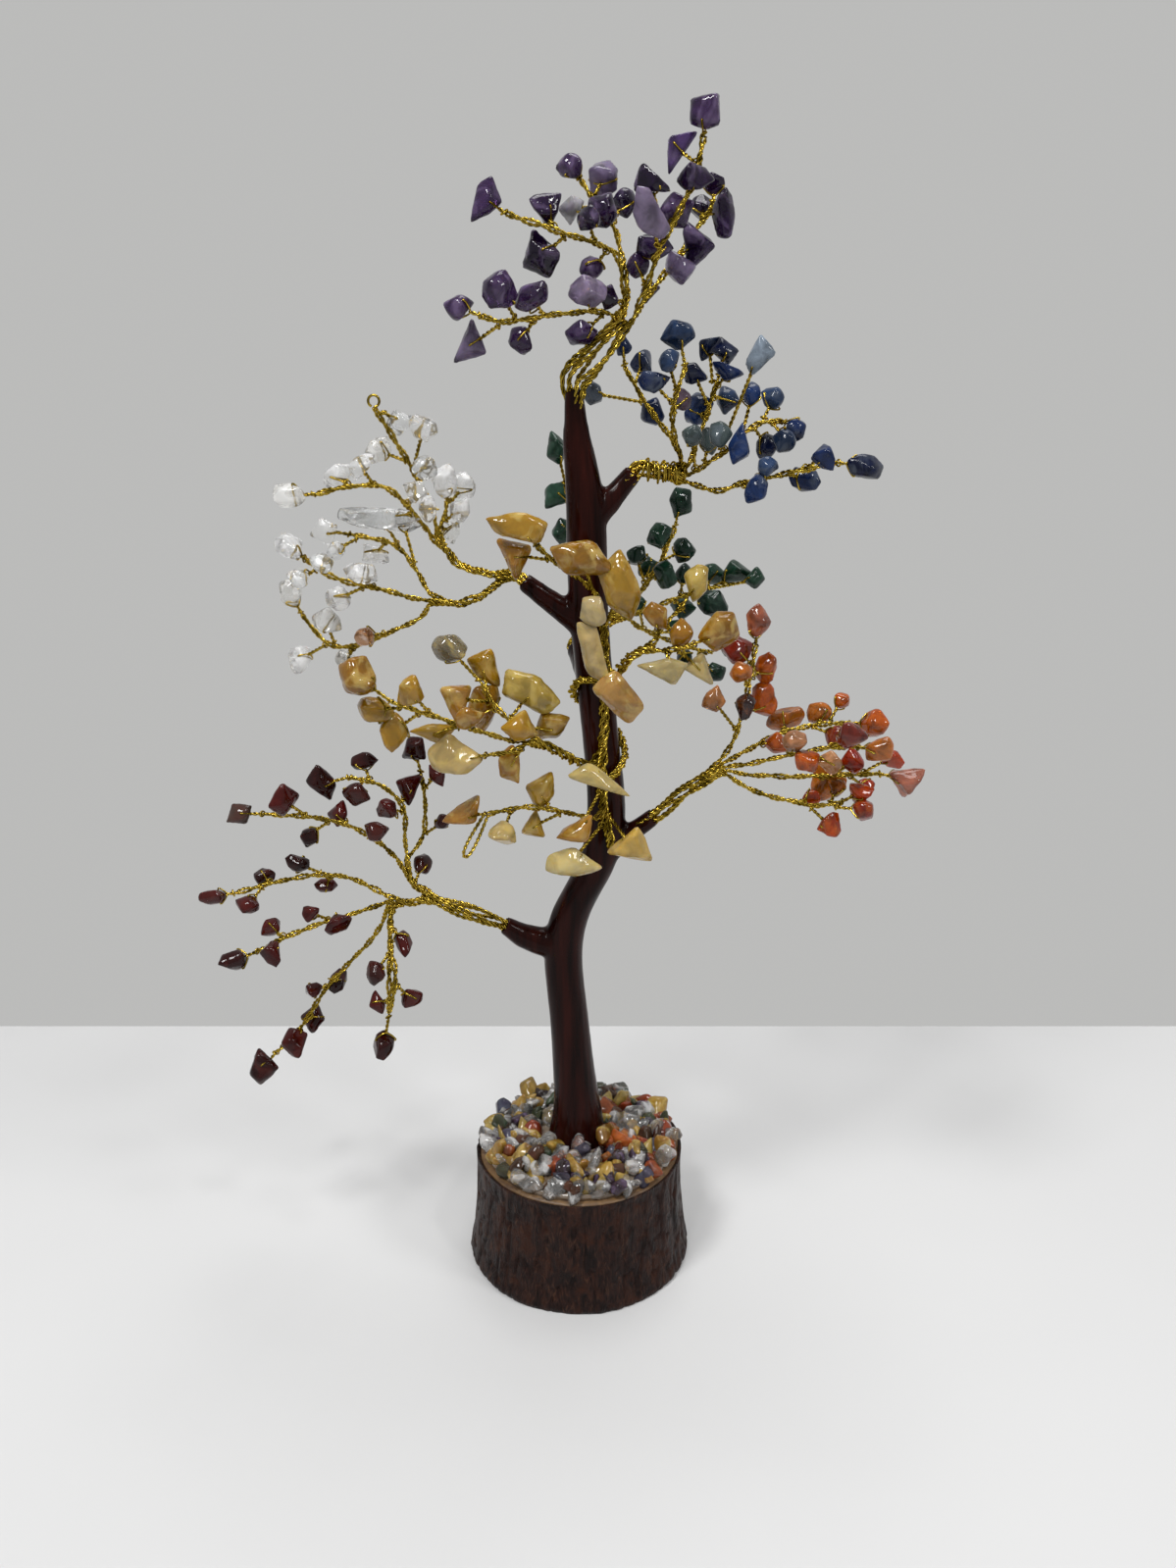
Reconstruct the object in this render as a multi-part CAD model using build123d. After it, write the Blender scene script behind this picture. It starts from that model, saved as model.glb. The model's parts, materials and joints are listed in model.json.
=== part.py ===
from build123d import *
import os
from dataclasses import dataclass, field
from math import cos, pi, radians, sin, sqrt, tan
from random import Random

import numpy as np

# Gemstone tree: a log slice carries a lacquered trunk, and the trunk carries sprays of drilled
# stone chips on twisted brass wire. Millimetres, +Z up, origin at the centre of the log's foot.
# The viewer of the front looks along +Y, with +X to the right.

# Log slice and its bed of chips
BASE_HEIGHT = 28.0
BASE_FOOT_DIA = 55.0
BASE_TOP_DIA = 50.0
BARK_THICKNESS = 2.0
RIM_WIDTH = 2.4
RESIN_THICKNESS = 1.6
CHIP_WIDTH = 4.2
CHIP_THICKNESS = 3.0
CHIP_SPACING = 4.9
CHIP_GAP = 0.05
CHIP_TILT = 14.0
CHIP_VARIES = (0.78, 1.0)
CHIP_THICKNESS_VARIES = (0.75, 1.15)
CHIP_PACKING = 1.78
CHIP_COLOUR_STEP = 3
CHIP_SEED = 500
BED_SEED = 3

# Trunk foot in the log
TENON_DIA = 9.0
TENON_DEPTH = 16.0
TENON_CLEARANCE = 0.15
FOOT_CLEARANCE = 0.2

# Wire: single strands are twisted in pairs, pairs in twigs, twigs in branches and bundles
STEM_DIA = 0.9
TWIG_DIA = 1.3
BRANCH_DIA = 1.9
BUNDLE_DIA = 2.8
BINDING_DIA = 1.3
SPINE_DIA = 2.0
WIRE_GAP = 0.06
LEAD_LENGTH = 1.6
ARC_SHARE = 0.45
ARC_STEPS = 4
FORK_FLARE = 1.25

# Wire roots in the limb ends, and the gap in which a bough bends
SOCKET_DEPTH = 6.0
SOCKET_CLEARANCE = 0.1
LIMB_LIP = 0.5
BEND_GAP = 0.3

# Stones
HOLE_CLEARANCE = 0.1
STONE_LEAST = 3.4
STONE_DEPTH_SHARE = 0.62
STONE_DEPTH_LEAST = 2.8
STONE_DEPTH_MOST = 5.6
STONE_SPREAD = 5.0
STONE_GAP = 0.45
STONE_SHIFT = 9.0
STONE_YAW = 38.0
STONE_NOD = 30.0
STONE_CORNERS = (5, 6, 6, 7)
CORNER_WANDER = 0.3
FLAT_SHARE = (0.5, 0.68)
FLAT_SHIFT = 0.06
STEM_PAST_CENTRE = 0.9
STEM_SLANT = 0.7
STEM_STEPS = 60
STEM_SIDES = 8
FOOT_SPACING = 1.7
FOOT_TRIES = 40

# How the stones are pushed clear of each other: turns, easing, and what a poor foot costs
SETTLE_TURNS = 300
SETTLE_EASE = 0.7
STEM_EASE = 0.6
LEAST_SHARE = 0.4
DEPTH_FAVOUR = 0.7
PUSH_EXTRA = 0.02
ROOM_COST = 30.0
CROWD_COST = 10.0
BACK_COST = 6.0
LATE_COST = 4.0

# Binding wire round the trunk
BINDING_LOW = 96.5
BINDING_HIGH = 116.5
BINDING_CLEAR = 0.35
BINDING_OPEN = 38.0
BINDING_ARCS = 6
BINDING_RUNS = 20
TINY = 0.001

# Where the front view is taken from, measured from the centre of the log's top
EYE_ACROSS = 2.0
EYE_AHEAD = 264.0
EYE_ABOVE = 181.0

GOLDEN_ANGLE = pi * (3 - sqrt(5))
CHIP_COLOURS = ("clear", "amethyst", "orange", "yellow", "green", "blue", "red")

# Trunk sections: height above the log's top, place across, place in depth, diameter
TRUNK_SECTIONS = [
    (RESIN_THICKNESS, -0.2, 0.0, 15.0),
    (6.0, -0.35, 0.0, 12.8),
    (14.0, -0.7, 0.1, 10.6),
    (30.0, -2.0, 0.4, 9.4),
    (47.0, -3.4, 0.6, 8.9),
    (58.0, -2.6, 0.4, 8.8),
    (68.0, 1.6, 0.0, 8.8),
    (78.0, 5.4, -0.3, 8.7),
    (90.0, 6.1, -0.4, 8.5),
    (105.0, 4.6, -0.2, 8.0),
    (120.0, 3.1, 0.0, 7.9),
    (136.0, 2.1, 0.2, 8.3),
    (150.0, 1.8, 0.3, 8.2),
    (160.0, 0.8, 0.2, 6.9),
    (168.0, -0.2, 0.0, 5.0),
]

# Limb routes: across, up, depth, diameter. The last one is the tip and takes the tip's diameter.
LIMB_ROUTES = {
    "amethyst": [(0.0, 165.5, 0.0, 5.2), (-0.4, 170.5, 0.0, 4.5), (-0.7, 175.0, 0.0, 0)],
    "lapis": [(2.8, 149.0, 0.3, 6.0), (7.2, 153.8, 1.4, 4.9), (11.4, 158.6, 3.0, 0)],
    "quartz": [(2.2, 127.0, 0.1, 6.6), (-4.4, 131.4, 0.6, 5.2), (-11.4, 136.8, 2.0, 0)],
    "carnelian": [(5.6, 75.5, -0.2, 6.4), (11.0, 79.8, -0.9, 4.8), (16.8, 84.6, -2.0, 0)],
    "garnet": [(-2.6, 53.4, 0.5, 7.6), (-10.2, 54.4, -0.4, 6.2), (-17.2, 58.2, -2.0, 0)],
    "green": [(2.6, 117.0, 0.8, 6.2), (0.8, 119.6, 6.2, 5.0), (-0.6, 122.6, 11.0, 0)],
}


@dataclass
class Twig:
    """A run of wire: its route (across, up, depth), the stones on it and the runs it forks into."""

    route: list
    stones: list = field(default_factory=list)
    twigs: list = field(default_factory=list)


# Each stone is noted as it shows from the front: across, up, width, height. The last stone of a
# run that doesn't fork sits on the run's end.
AMETHYST = Twig(
    [(2.6, 180.0, 0.0), (8.8, 187.0, 0.0)],
    twigs=[
        Twig(
            [(3.0, 189.4, -3.0), (-5.0, 188.6, -6.0), (-15.0, 187.2, -8.0), (-18.6, 188.4, -8.0)],
            [
                (1, 185, 6, 5), (2, 193, 7, 5), (-9, 192, 7, 5), (-11, 184, 6, 4), (-15, 193, 6, 7),
                (-21, 183, 6, 9), (-23, 190, 5, 5),
            ],
        ),
        Twig(
            [(9.8, 193.0, 1.0), (8.4, 198.6, 1.0)],
            [(6, 192, 4, 4)],
            [
                Twig(
                    [(3.4, 201.6, -2.0), (-2.6, 203.4, -4.0), (-13.4, 206.8, -5.0)],
                    [(3, 197, 4, 5), (2, 206, 4, 4), (-7, 199, 6, 8), (-6, 208, 6, 6), (-17, 209, 6, 8)],
                ),
                Twig(
                    [(7.4, 204.4, 4.0), (3.6, 208.6, 6.0), (0.8, 212.6, 7.0)],
                    [(9, 209, 4, 6), (5, 207, 6, 6), (-1, 208, 4, 5), (5, 213, 5, 6), (-1, 215, 5, 4)],
                ),
            ],
        ),
        Twig(
            [
                (13.6, 194.0, -3.0), (16.0, 201.0, -5.0), (19.4, 207.0, -6.0), (22.8, 213.0, -5.0),
                (23.8, 220.0, -4.0),
            ],
            [
                (12, 198, 4, 4), (15, 201, 6, 5), (14, 206, 5, 10), (19, 207, 6, 7), (14, 212, 6, 6),
                (22, 213, 6, 5), (19, 218, 5, 7), (24, 224, 5, 6),
            ],
        ),
        Twig(
            [(13.4, 191.6, 4.0), (18.0, 197.4, 8.0), (22.6, 203.6, 10.0), (26.0, 208.6, 10.0)],
            [
                (14, 193, 4, 5), (19, 197, 6, 5), (23, 201, 5, 8), (24, 208, 4, 6), (28, 207, 4, 8),
                (26, 212, 4, 4),
            ],
        ),
    ],
)

LAPIS = Twig(
    [(13.6, 159.2, 3.4), (20.6, 158.4, 4.0)],
    twigs=[
        Twig(
            [(20.4, 163.6, 10.0), (14.0, 171.4, 14.0), (9.4, 179.0, 15.0)],
            [(15, 170, 5, 5), (3, 174, 4, 4), (13, 180, 4, 5), (9, 183, 4, 5)],
        ),
        Twig(
            [(19.8, 164.0, 1.0), (18.6, 170.4, -3.0), (21.4, 179.0, -2.0)],
            [(15, 176, 5, 6), (21, 173, 4, 4), (18, 180, 4, 4), (20, 185, 6, 5)],
        ),
        Twig(
            [(23.4, 162.0, 6.0), (25.8, 169.6, 8.0), (28.0, 177.0, 9.0)],
            [
                (24, 171, 5, 6), (23, 178, 4, 4), (30, 173, 4, 5), (30, 178, 5, 4), (26, 183, 4, 4),
                (29, 182, 5, 4),
            ],
        ),
        Twig(
            [(25.2, 159.8, 3.0), (30.4, 163.0, 0.0), (36.0, 168.6, -1.0), (41.0, 168.8, 0.0)],
            [
                (23, 166, 4, 4), (26, 165, 4, 5), (29, 166, 4, 5), (32, 164, 4, 7), (35, 174, 4, 5),
                (36, 181, 4, 7), (39, 173, 4, 4), (38, 164, 5, 4), (42, 165, 5, 4), (44, 167, 4, 4),
            ],
        ),
        Twig(
            [
                (24.0, 156.4, 2.0), (28.0, 154.6, 0.0), (33.4, 156.6, -2.0), (43.0, 158.6, -4.0),
                (52.4, 160.6, -4.0),
            ],
            [(36, 155, 4, 6), (38, 160, 4, 4), (46, 157, 6, 5), (50, 162, 5, 4), (58, 160, 7, 4)],
        ),
    ],
)

QUARTZ = Twig(
    [(-14.0, 138.0, 2.4), (-16.0, 137.4, 2.6)],
    twigs=[
        Twig(
            [(-20.6, 138.6, 4.0), (-25.0, 140.0, 6.0), (-28.6, 145.0, 7.0)],
            [],
            [
                Twig(
                    [(-29.8, 152.0, 6.0), (-33.0, 158.6, 4.0), (-36.4, 164.4, 3.0), (-40.6, 171.4, 2.0)],
                    [
                        (-31, 151, 4, 5), (-31, 160, 5, 5), (-40, 163, 6, 5), (-31, 167, 5, 5),
                        (-36, 168, 4, 4),
                    ],
                ),
                Twig(
                    [(-27.2, 149.4, 11.0), (-26.6, 153.0, 14.0)],
                    [(-26, 147, 5, 4), (-24, 151, 4, 5), (-23, 156, 4, 6), (-27, 157, 5, 6)],
                ),
                Twig(
                    [
                        (-33.2, 150.2, -2.0), (-38.4, 156.0, -7.0), (-45.6, 156.2, -9.0),
                        (-53.4, 154.4, -9.0),
                    ],
                    [
                        (-33, 155, 4, 4), (-40, 151, 14, 5), (-44, 160, 6, 4), (-49, 158, 6, 5),
                        (-59, 154, 6, 5),
                    ],
                ),
            ],
        ),
        Twig(
            [(-20.0, 133.4, 1.0), (-25.0, 131.6, 0.0), (-29.4, 132.4, -1.0)],
            [],
            [
                Twig(
                    [(-32.6, 137.4, 2.0), (-36.8, 144.4, 5.0), (-46.6, 146.2, 8.0)],
                    [
                        (-34, 149, 4, 4), (-42, 142, 6, 5), (-40, 149, 5, 5), (-50, 143, 4, 4),
                        (-52, 147, 5, 5),
                    ],
                ),
                Twig(
                    [
                        (-34.6, 133.0, -3.0), (-43.0, 135.4, -6.0), (-50.4, 136.8, -8.0),
                        (-56.2, 141.0, -9.0),
                    ],
                    [
                        (-45, 138, 6, 5), (-50, 133, 5, 5), (-53, 140, 5, 4), (-58, 137, 5, 4),
                        (-60, 144, 6, 5),
                    ],
                ),
                Twig(
                    [
                        (-32.4, 129.2, 2.0), (-39.4, 125.8, 4.0), (-47.0, 122.6, 5.0),
                        (-53.2, 122.8, 5.0),
                        (-58.0, 129.6, 6.0),
                    ],
                    [
                        (-45, 125, 5, 4), (-49, 120, 5, 4), (-59, 120, 5, 5), (-53, 128, 6, 5),
                        (-60, 134, 6, 5),
                    ],
                ),
            ],
        ),
    ],
)

CARNELIAN = Twig(
    [(23.8, 90.8, -3.0), (30.4, 95.0, -4.0)],
    twigs=[
        Twig(
            [(34.2, 102.4, -2.0), (36.4, 113.0, 0.0), (37.6, 122.6, 0.0)],
            [
                (29, 111, 7, 7), (36, 110, 4, 5), (40, 111, 4, 7), (35, 117, 4, 4), (40, 118, 4, 6),
                (34, 122, 6, 5), (38, 128, 4, 6),
            ],
        ),
        Twig(
            [(36.6, 99.6, 0.0), (43.0, 103.4, 3.0), (51.0, 105.6, 6.0), (58.4, 105.8, 7.0)],
            [
                (45, 107, 7, 5), (43, 101, 6, 4), (53, 108, 5, 4), (56, 111, 4, 3), (56, 103, 6, 4),
                (64, 106, 7, 5),
            ],
        ),
        Twig(
            [(37.4, 96.6, -7.0), (46.6, 98.8, -11.0), (55.0, 100.6, -13.0), (60.4, 100.4, -13.0)],
            [(47, 102, 5, 4), (50, 97, 5, 4), (55, 97, 5, 4), (59, 103, 6, 5), (66, 100, 5, 5)],
        ),
        Twig(
            [(37.2, 94.0, -3.0), (47.4, 93.6, -2.0), (58.6, 94.0, -2.0), (65.6, 94.4, -2.0)],
            [(55, 93, 7, 8), (60, 97, 4, 5), (63, 91, 4, 4), (68, 98, 4, 4), (72, 93, 8, 6)],
        ),
        Twig(
            [(36.4, 91.2, -6.0), (44.6, 88.4, -8.0), (53.0, 86.6, -8.0), (57.8, 87.6, -8.0)],
            [(51, 89, 4, 3), (56, 82, 4, 5), (57, 91, 4, 4), (63, 86, 4, 4), (62, 90, 5, 4)],
        ),
    ],
)

GARNET = Twig(
    [(-28.0, 62.4, -3.0), (-34.6, 65.0, -3.0)],
    twigs=[
        Twig(
            [(-37.4, 67.8, -2.0), (-38.6, 72.0, -1.0)],
            [(-35, 73, 4, 6)],
            [
                Twig(
                    [(-38.8, 79.0, 0.0), (-38.0, 86.0, 1.0), (-42.2, 91.6, 1.0), (-50.0, 93.6, 0.0)],
                    [
                        (-42, 86, 5, 5), (-37, 91, 5, 8), (-47, 97, 5, 5), (-49, 90, 6, 5),
                        (-56, 92, 5, 8),
                    ],
                ),
                Twig(
                    [(-34.6, 78.6, 4.0), (-33.6, 86.0, 6.0), (-34.4, 94.4, 7.0)],
                    [(-30, 83, 4, 4), (-31, 94, 4, 5), (-36, 100, 6, 5)],
                ),
                Twig(
                    [
                        (-42.8, 76.8, -5.0), (-49.4, 81.8, -8.0), (-57.4, 84.2, -10.0),
                        (-69.4, 85.0, -11.0),
                    ],
                    [
                        (-45, 81, 5, 4), (-53, 85, 4, 5), (-60, 80, 6, 5), (-65, 88, 5, 7),
                        (-75, 85, 5, 4),
                    ],
                ),
            ],
        ),
        Twig(
            [(-38.0, 63.2, -4.6), (-41.4, 63.6, -5.6)],
            [],
            [
                Twig(
                    [
                        (-44.8, 66.2, -3.0), (-50.6, 69.6, -1.0), (-57.8, 70.8, 0.0), (-67.0, 69.0, 0.0),
                        (-77.6, 66.0, 0.0),
                    ],
                    [
                        (-63, 73, 5, 4), (-57, 68, 5, 4), (-71, 70, 4, 4), (-75, 63, 6, 5),
                        (-83, 65, 6, 4),
                    ],
                ),
                Twig(
                    [
                        (-45.4, 62.8, -8.0), (-52.0, 60.6, -11.0), (-59.6, 58.2, -13.0),
                        (-68.0, 54.6, -14.0),
                        (-73.4, 51.6, -14.0),
                    ],
                    [
                        (-55, 58, 5, 6), (-61, 61, 4, 4), (-70, 57, 5, 5), (-71, 51, 5, 5),
                        (-79, 49, 7, 5),
                    ],
                ),
                Twig(
                    [
                        (-44.2, 59.6, -4.0), (-47.0, 54.8, -2.0), (-53.4, 48.0, 0.0), (-59.6, 41.0, 1.0),
                        (-64.4, 32.4, 2.0), (-71.4, 25.2, 2.0),
                    ],
                    [
                        (-56, 44, 5, 6), (-62, 41, 4, 4), (-62, 34, 5, 6), (-67, 28, 5, 6),
                        (-75, 21, 5, 8),
                    ],
                ),
                Twig(
                    [
                        (-42.6, 58.6, -8.0), (-43.4, 52.0, -12.0), (-42.0, 45.0, -15.0),
                        (-44.4, 35.0, -17.0),
                    ],
                    [
                        (-40, 54, 4, 7), (-47, 46, 4, 6), (-39, 39, 4, 7), (-47, 38, 4, 6),
                        (-46, 27, 5, 7),
                    ],
                ),
            ],
        ),
    ],
)

GREEN = Twig(
    [(3.0, 126.0, 16.0), (8.4, 129.2, 20.0)],
    twigs=[
        Twig(
            [(7.0, 135.6, 24.0), (0.8, 145.0, 27.0), (-2.4, 156.0, 28.0)],
            [(-3, 147, 4, 5), (2, 153, 5, 6), (-4, 154, 4, 8), (-4, 163, 5, 6)],
        ),
        Twig(
            [(12.8, 133.8, 21.0), (16.8, 139.6, 21.0), (20.0, 147.6, 22.0)],
            [
                (12, 142, 4, 4), (14, 139, 5, 5), (18, 138, 5, 5), (17, 146, 5, 5), (22, 143, 4, 5),
                (21, 153, 4, 6),
            ],
        ),
        Twig(
            [(14.4, 130.4, 25.0), (21.4, 133.4, 28.0), (30.0, 135.8, 30.0)],
            [
                (22, 131, 5, 5), (22, 138, 4, 4), (28, 132, 6, 5), (28, 138, 5, 5), (37, 137, 4, 5),
                (33, 138, 6, 6),
            ],
        ),
        Twig(
            [(13.0, 126.6, 22.0), (20.0, 123.6, 24.0), (27.6, 121.4, 25.0)],
            [(14, 131, 4, 4), (21, 126, 4, 5), (23, 120, 4, 4), (29, 117, 4, 4), (32, 123, 4, 4)],
        ),
    ],
)

YELLOW_LEFT = Twig(
    [(-3.2, 98.8, -13.0), (-9.0, 101.6, -16.0)],
    twigs=[
        Twig(
            [(-14.0, 105.4, -15.0), (-18.2, 110.0, -14.0), (-20.8, 115.0, -14.0)],
            [(-6, 105, 8, 6), (-13, 104, 6, 6), (-10, 113, 13, 8), (-20, 110, 6, 8), (-26, 111, 6, 7),
             (-20, 118, 6, 6), (-27, 122, 7, 6)],
        ),
        Twig(
            [(-16.0, 102.2, -20.0), (-24.0, 104.8, -23.0), (-32.0, 107.8, -24.0), (-39.8, 110.4, -24.0)],
            [
                (-24, 107, 6, 4), (-31, 104, 10, 5), (-36, 113, 6, 5), (-40, 104, 7, 7),
                (-44, 109, 7, 6),
                (-47, 116, 7, 7),
            ],
        ),
        Twig(
            [(-13.6, 99.4, -20.0), (-19.6, 98.6, -24.0)],
            [(-15, 96, 6, 8), (-28, 98, 10, 10)],
        ),
    ],
)

YELLOW_LOW = Twig(
    [(-4.8, 85.8, -12.4), (-11.6, 86.8, -15.0), (-17.4, 85.6, -17.0), (-20.4, 84.8, -18.0)],
    [(-8, 90, 7, 6), (-10, 82, 5, 5), (-17, 80, 5, 7), (-25, 85, 7, 9)],
)

YELLOW_RIGHT = Twig(
    [(11.0, 121.0, -12.6), (15.2, 122.4, -14.0)],
    twigs=[
        Twig(
            [(17.4, 126.8, -13.0), (21.6, 130.8, -12.0)],
            [(16, 129, 7, 6), (22, 125, 5, 5), (25, 137, 5, 8)],
        ),
        Twig(
            [(19.0, 121.8, -17.0), (24.2, 123.0, -19.0)],
            [(19, 118, 9, 5), (26, 118, 7, 6), (30, 126, 8, 8)],
        ),
    ],
)

# Wire tied down the trunk's front, with the stones that stand on it: across and up
SPINE_ROUTE = [
    (4.4, 133.0), (5.6, 126.0), (5.2, 117.0), (5.8, 108.0), (5.0, 98.0), (5.6, 88.0), (7.2, 79.0),
]
SPINE_STONES = [
    (1, 141, 11, 8), (9, 135, 8, 12), (3, 130, 5, 6), (3, 122, 5, 12), (9, 112, 10, 11),
    (4, 93, 13, 6), (0, 81, 8, 6), (12, 77, 9, 9), (-2, 73, 12, 7),
]
SPINE_STONE_DEPTH = -14.0
CAP_TWIG = Twig(
    [(0.6, 137.0, -9.6), (-5.0, 140.6, -11.0), (-8.4, 144.0, -11.6)],
    [(-13, 142, 6, 6), (-12, 148, 12, 6)],
)


def seen(across, up, depth):
    """The point at a depth behind the trunk that shows from the front at a place on the trunk's plane."""
    reach = (EYE_AHEAD + depth) / EYE_AHEAD
    x = EYE_ACROSS + (across - EYE_ACROSS) * reach
    z = BASE_HEIGHT + EYE_ABOVE + (up - EYE_ABOVE) * reach
    return np.array([x, depth, z])


def unit(vector):
    """A vector's direction."""
    return vector / np.linalg.norm(vector)


def across_of(direction):
    """Two directions square to a given one and to each other."""
    helper = np.array([0.0, 0.0, 1.0]) if abs(direction[2]) < 0.9 else np.array([1.0, 0.0, 0.0])
    first = unit(np.cross(direction, helper))
    return first, np.cross(direction, first)


def plane_at(point, direction):
    """A sketch plane at a point, facing along a direction."""
    return Plane(origin=tuple(point), z_dir=tuple(direction))


def rod(start, end, dia):
    """A straight round rod between two points."""
    run = end - start
    return Solid.make_cylinder(dia / 2, float(np.linalg.norm(run)), plane_at(start, unit(run)))


def corner_arc(before, corner, after):
    """The arc that rounds a corner of a wire: its radius, its turn, and the run given up to it."""
    run_in, run_out = corner - before, after - corner
    given = ARC_SHARE * min(np.linalg.norm(run_in), np.linalg.norm(run_out))
    turn = float(np.arccos(np.clip(unit(run_in) @ unit(run_out), -1, 1)))
    return float(given / tan(turn / 2)), turn, given


def bent_wire(points, dia):
    """A round wire along straight runs joined by arcs as large as the runs allow."""
    corners = [tuple(p) for p in points]
    radii = [corner_arc(*three)[0] for three in zip(points, points[1:], points[2:])]
    path = FilletPolyline(*corners, radius=radii) if radii else Line(*corners)
    return sweep(plane_at(points[0], unit(points[1] - points[0])) * Circle(dia / 2), path=path).solid()


def centre_line(points):
    """A bent wire's centre line as short straight runs, along its arcs as well."""
    line = [points[0]]
    for before, corner, after in zip(points, points[1:], points[2:]):
        radius, turn, given = corner_arc(before, corner, after)
        way_in, way_out = unit(corner - before), unit(after - corner)
        inward = unit(way_out - way_in * (way_in @ way_out))
        for step in range(ARC_STEPS + 1):
            angle = turn * step / ARC_STEPS
            swing = (way_in * sin(angle) + inward * (1 - cos(angle))) * radius
            line.append(corner - way_in * given + swing)
    return np.array(line + [points[-1]])


def polyhedron(rings):
    """A closed solid whose flat faces join equal rings of corners, capped at both ends."""
    faces = [rings[0][::-1], rings[-1]]
    for low, high in zip(rings, rings[1:]):
        for i in range(len(low)):
            j = (i + 1) % len(low)
            faces.append([low[i], low[j], high[j], high[i]])
    made = [Face(Wire.make_polygon([tuple(p) for p in face], close=True)) for face in faces]
    return Solid(Shell(made))


class Chip:
    """A flat-faced stone: an uneven outline on an ellipse, narrowed towards both flats."""

    def __init__(self, width, height, thickness, seed, right, upward, outward):
        draw = Random(seed)
        corners = draw.choice(STONE_CORNERS)
        wander = [draw.uniform(-CORNER_WANDER, CORNER_WANDER) for _ in range(corners)]
        angles = [2 * pi * (i + wander[i]) / corners for i in range(corners)]
        outline = [right * (width / 2 * cos(a)) + upward * (height / 2 * sin(a)) for a in angles]
        self.rings = []
        for side in (-1, 1):
            share = draw.uniform(*FLAT_SHARE)
            shift = right * (width * draw.uniform(-FLAT_SHIFT, FLAT_SHIFT))
            shift = shift + upward * (height * draw.uniform(-FLAT_SHIFT, FLAT_SHIFT))
            flat = [p * share + shift + outward * (side * thickness / 2) for p in outline]
            self.rings.append(flat)
        self.rings.insert(1, outline)
        self.points = np.array([p for ring in self.rings for p in ring])
        self.normals = self.face_normals()
        self.reach = float(np.linalg.norm(self.points, axis=1).max())

    def face_normals(self):
        """The outward directions of the faces."""
        found = [unit(np.cross(r[1] - r[0], r[2] - r[0])) for r in (self.rings[0], self.rings[2])]
        for low, high in zip(self.rings, self.rings[1:]):
            for i in range(len(low)):
                j = (i + 1) % len(low)
                found.append(unit(np.cross(low[j] - low[i], high[i] - low[i])))
        reach = [self.points @ n for n in found]
        return np.array([n if r.max() >= -r.min() else -n for n, r in zip(found, reach)] + [-found[0]])

    def solid(self, centre):
        """The stone's solid about a centre."""
        return polyhedron([[p + centre for p in ring] for ring in self.rings])


@dataclass
class Stone:
    """A drilled stone on its stem: where it sits, its shape and the wire that carries it."""

    body: str
    wire: int
    centre: np.ndarray
    chip: Chip
    foot: np.ndarray
    line: np.ndarray
    wire_dia: float

    def __post_init__(self):
        self.home = self.centre

    def stem(self):
        """The stem's two ends, from just off its wire to just past the stone's centre."""
        start = stem_start(self.line, self.foot, self.centre, self.wire_dia)
        return start, self.centre + unit(self.centre - self.foot) * STEM_PAST_CENTRE

    def move(self, push):
        """Shift the stone, by no more in all than it may leave its noted place."""
        away = self.centre + push - self.home
        self.centre = self.home + away * min(1.0, STONE_SHIFT / max(np.linalg.norm(away), 1e-9))


def stem_start(line, foot, centre, wire_dia):
    """Where a stem's rod begins, so that all of it clears the wire that it leaves."""
    first, second = across_of(unit(centre - foot))
    turns = np.arange(STEM_SIDES) * 2 * pi / STEM_SIDES
    rim = (np.outer(np.cos(turns), first) + np.outer(np.sin(turns), second)) * STEM_DIA / 2
    steps = foot + (centre - foot) * np.linspace(0, 1, STEM_STEPS)[:, None]
    spots = (steps[:, None] + rim[None]).reshape(-1, 3)
    away = points_to_rods(spots, line[:-1], line[1:]).min(1).reshape(STEM_STEPS, STEM_SIDES).min(1)
    close = np.nonzero(away < wire_dia / 2 + WIRE_GAP)[0]
    return steps[min(close[-1] + 1, STEM_STEPS - 1)]


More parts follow.
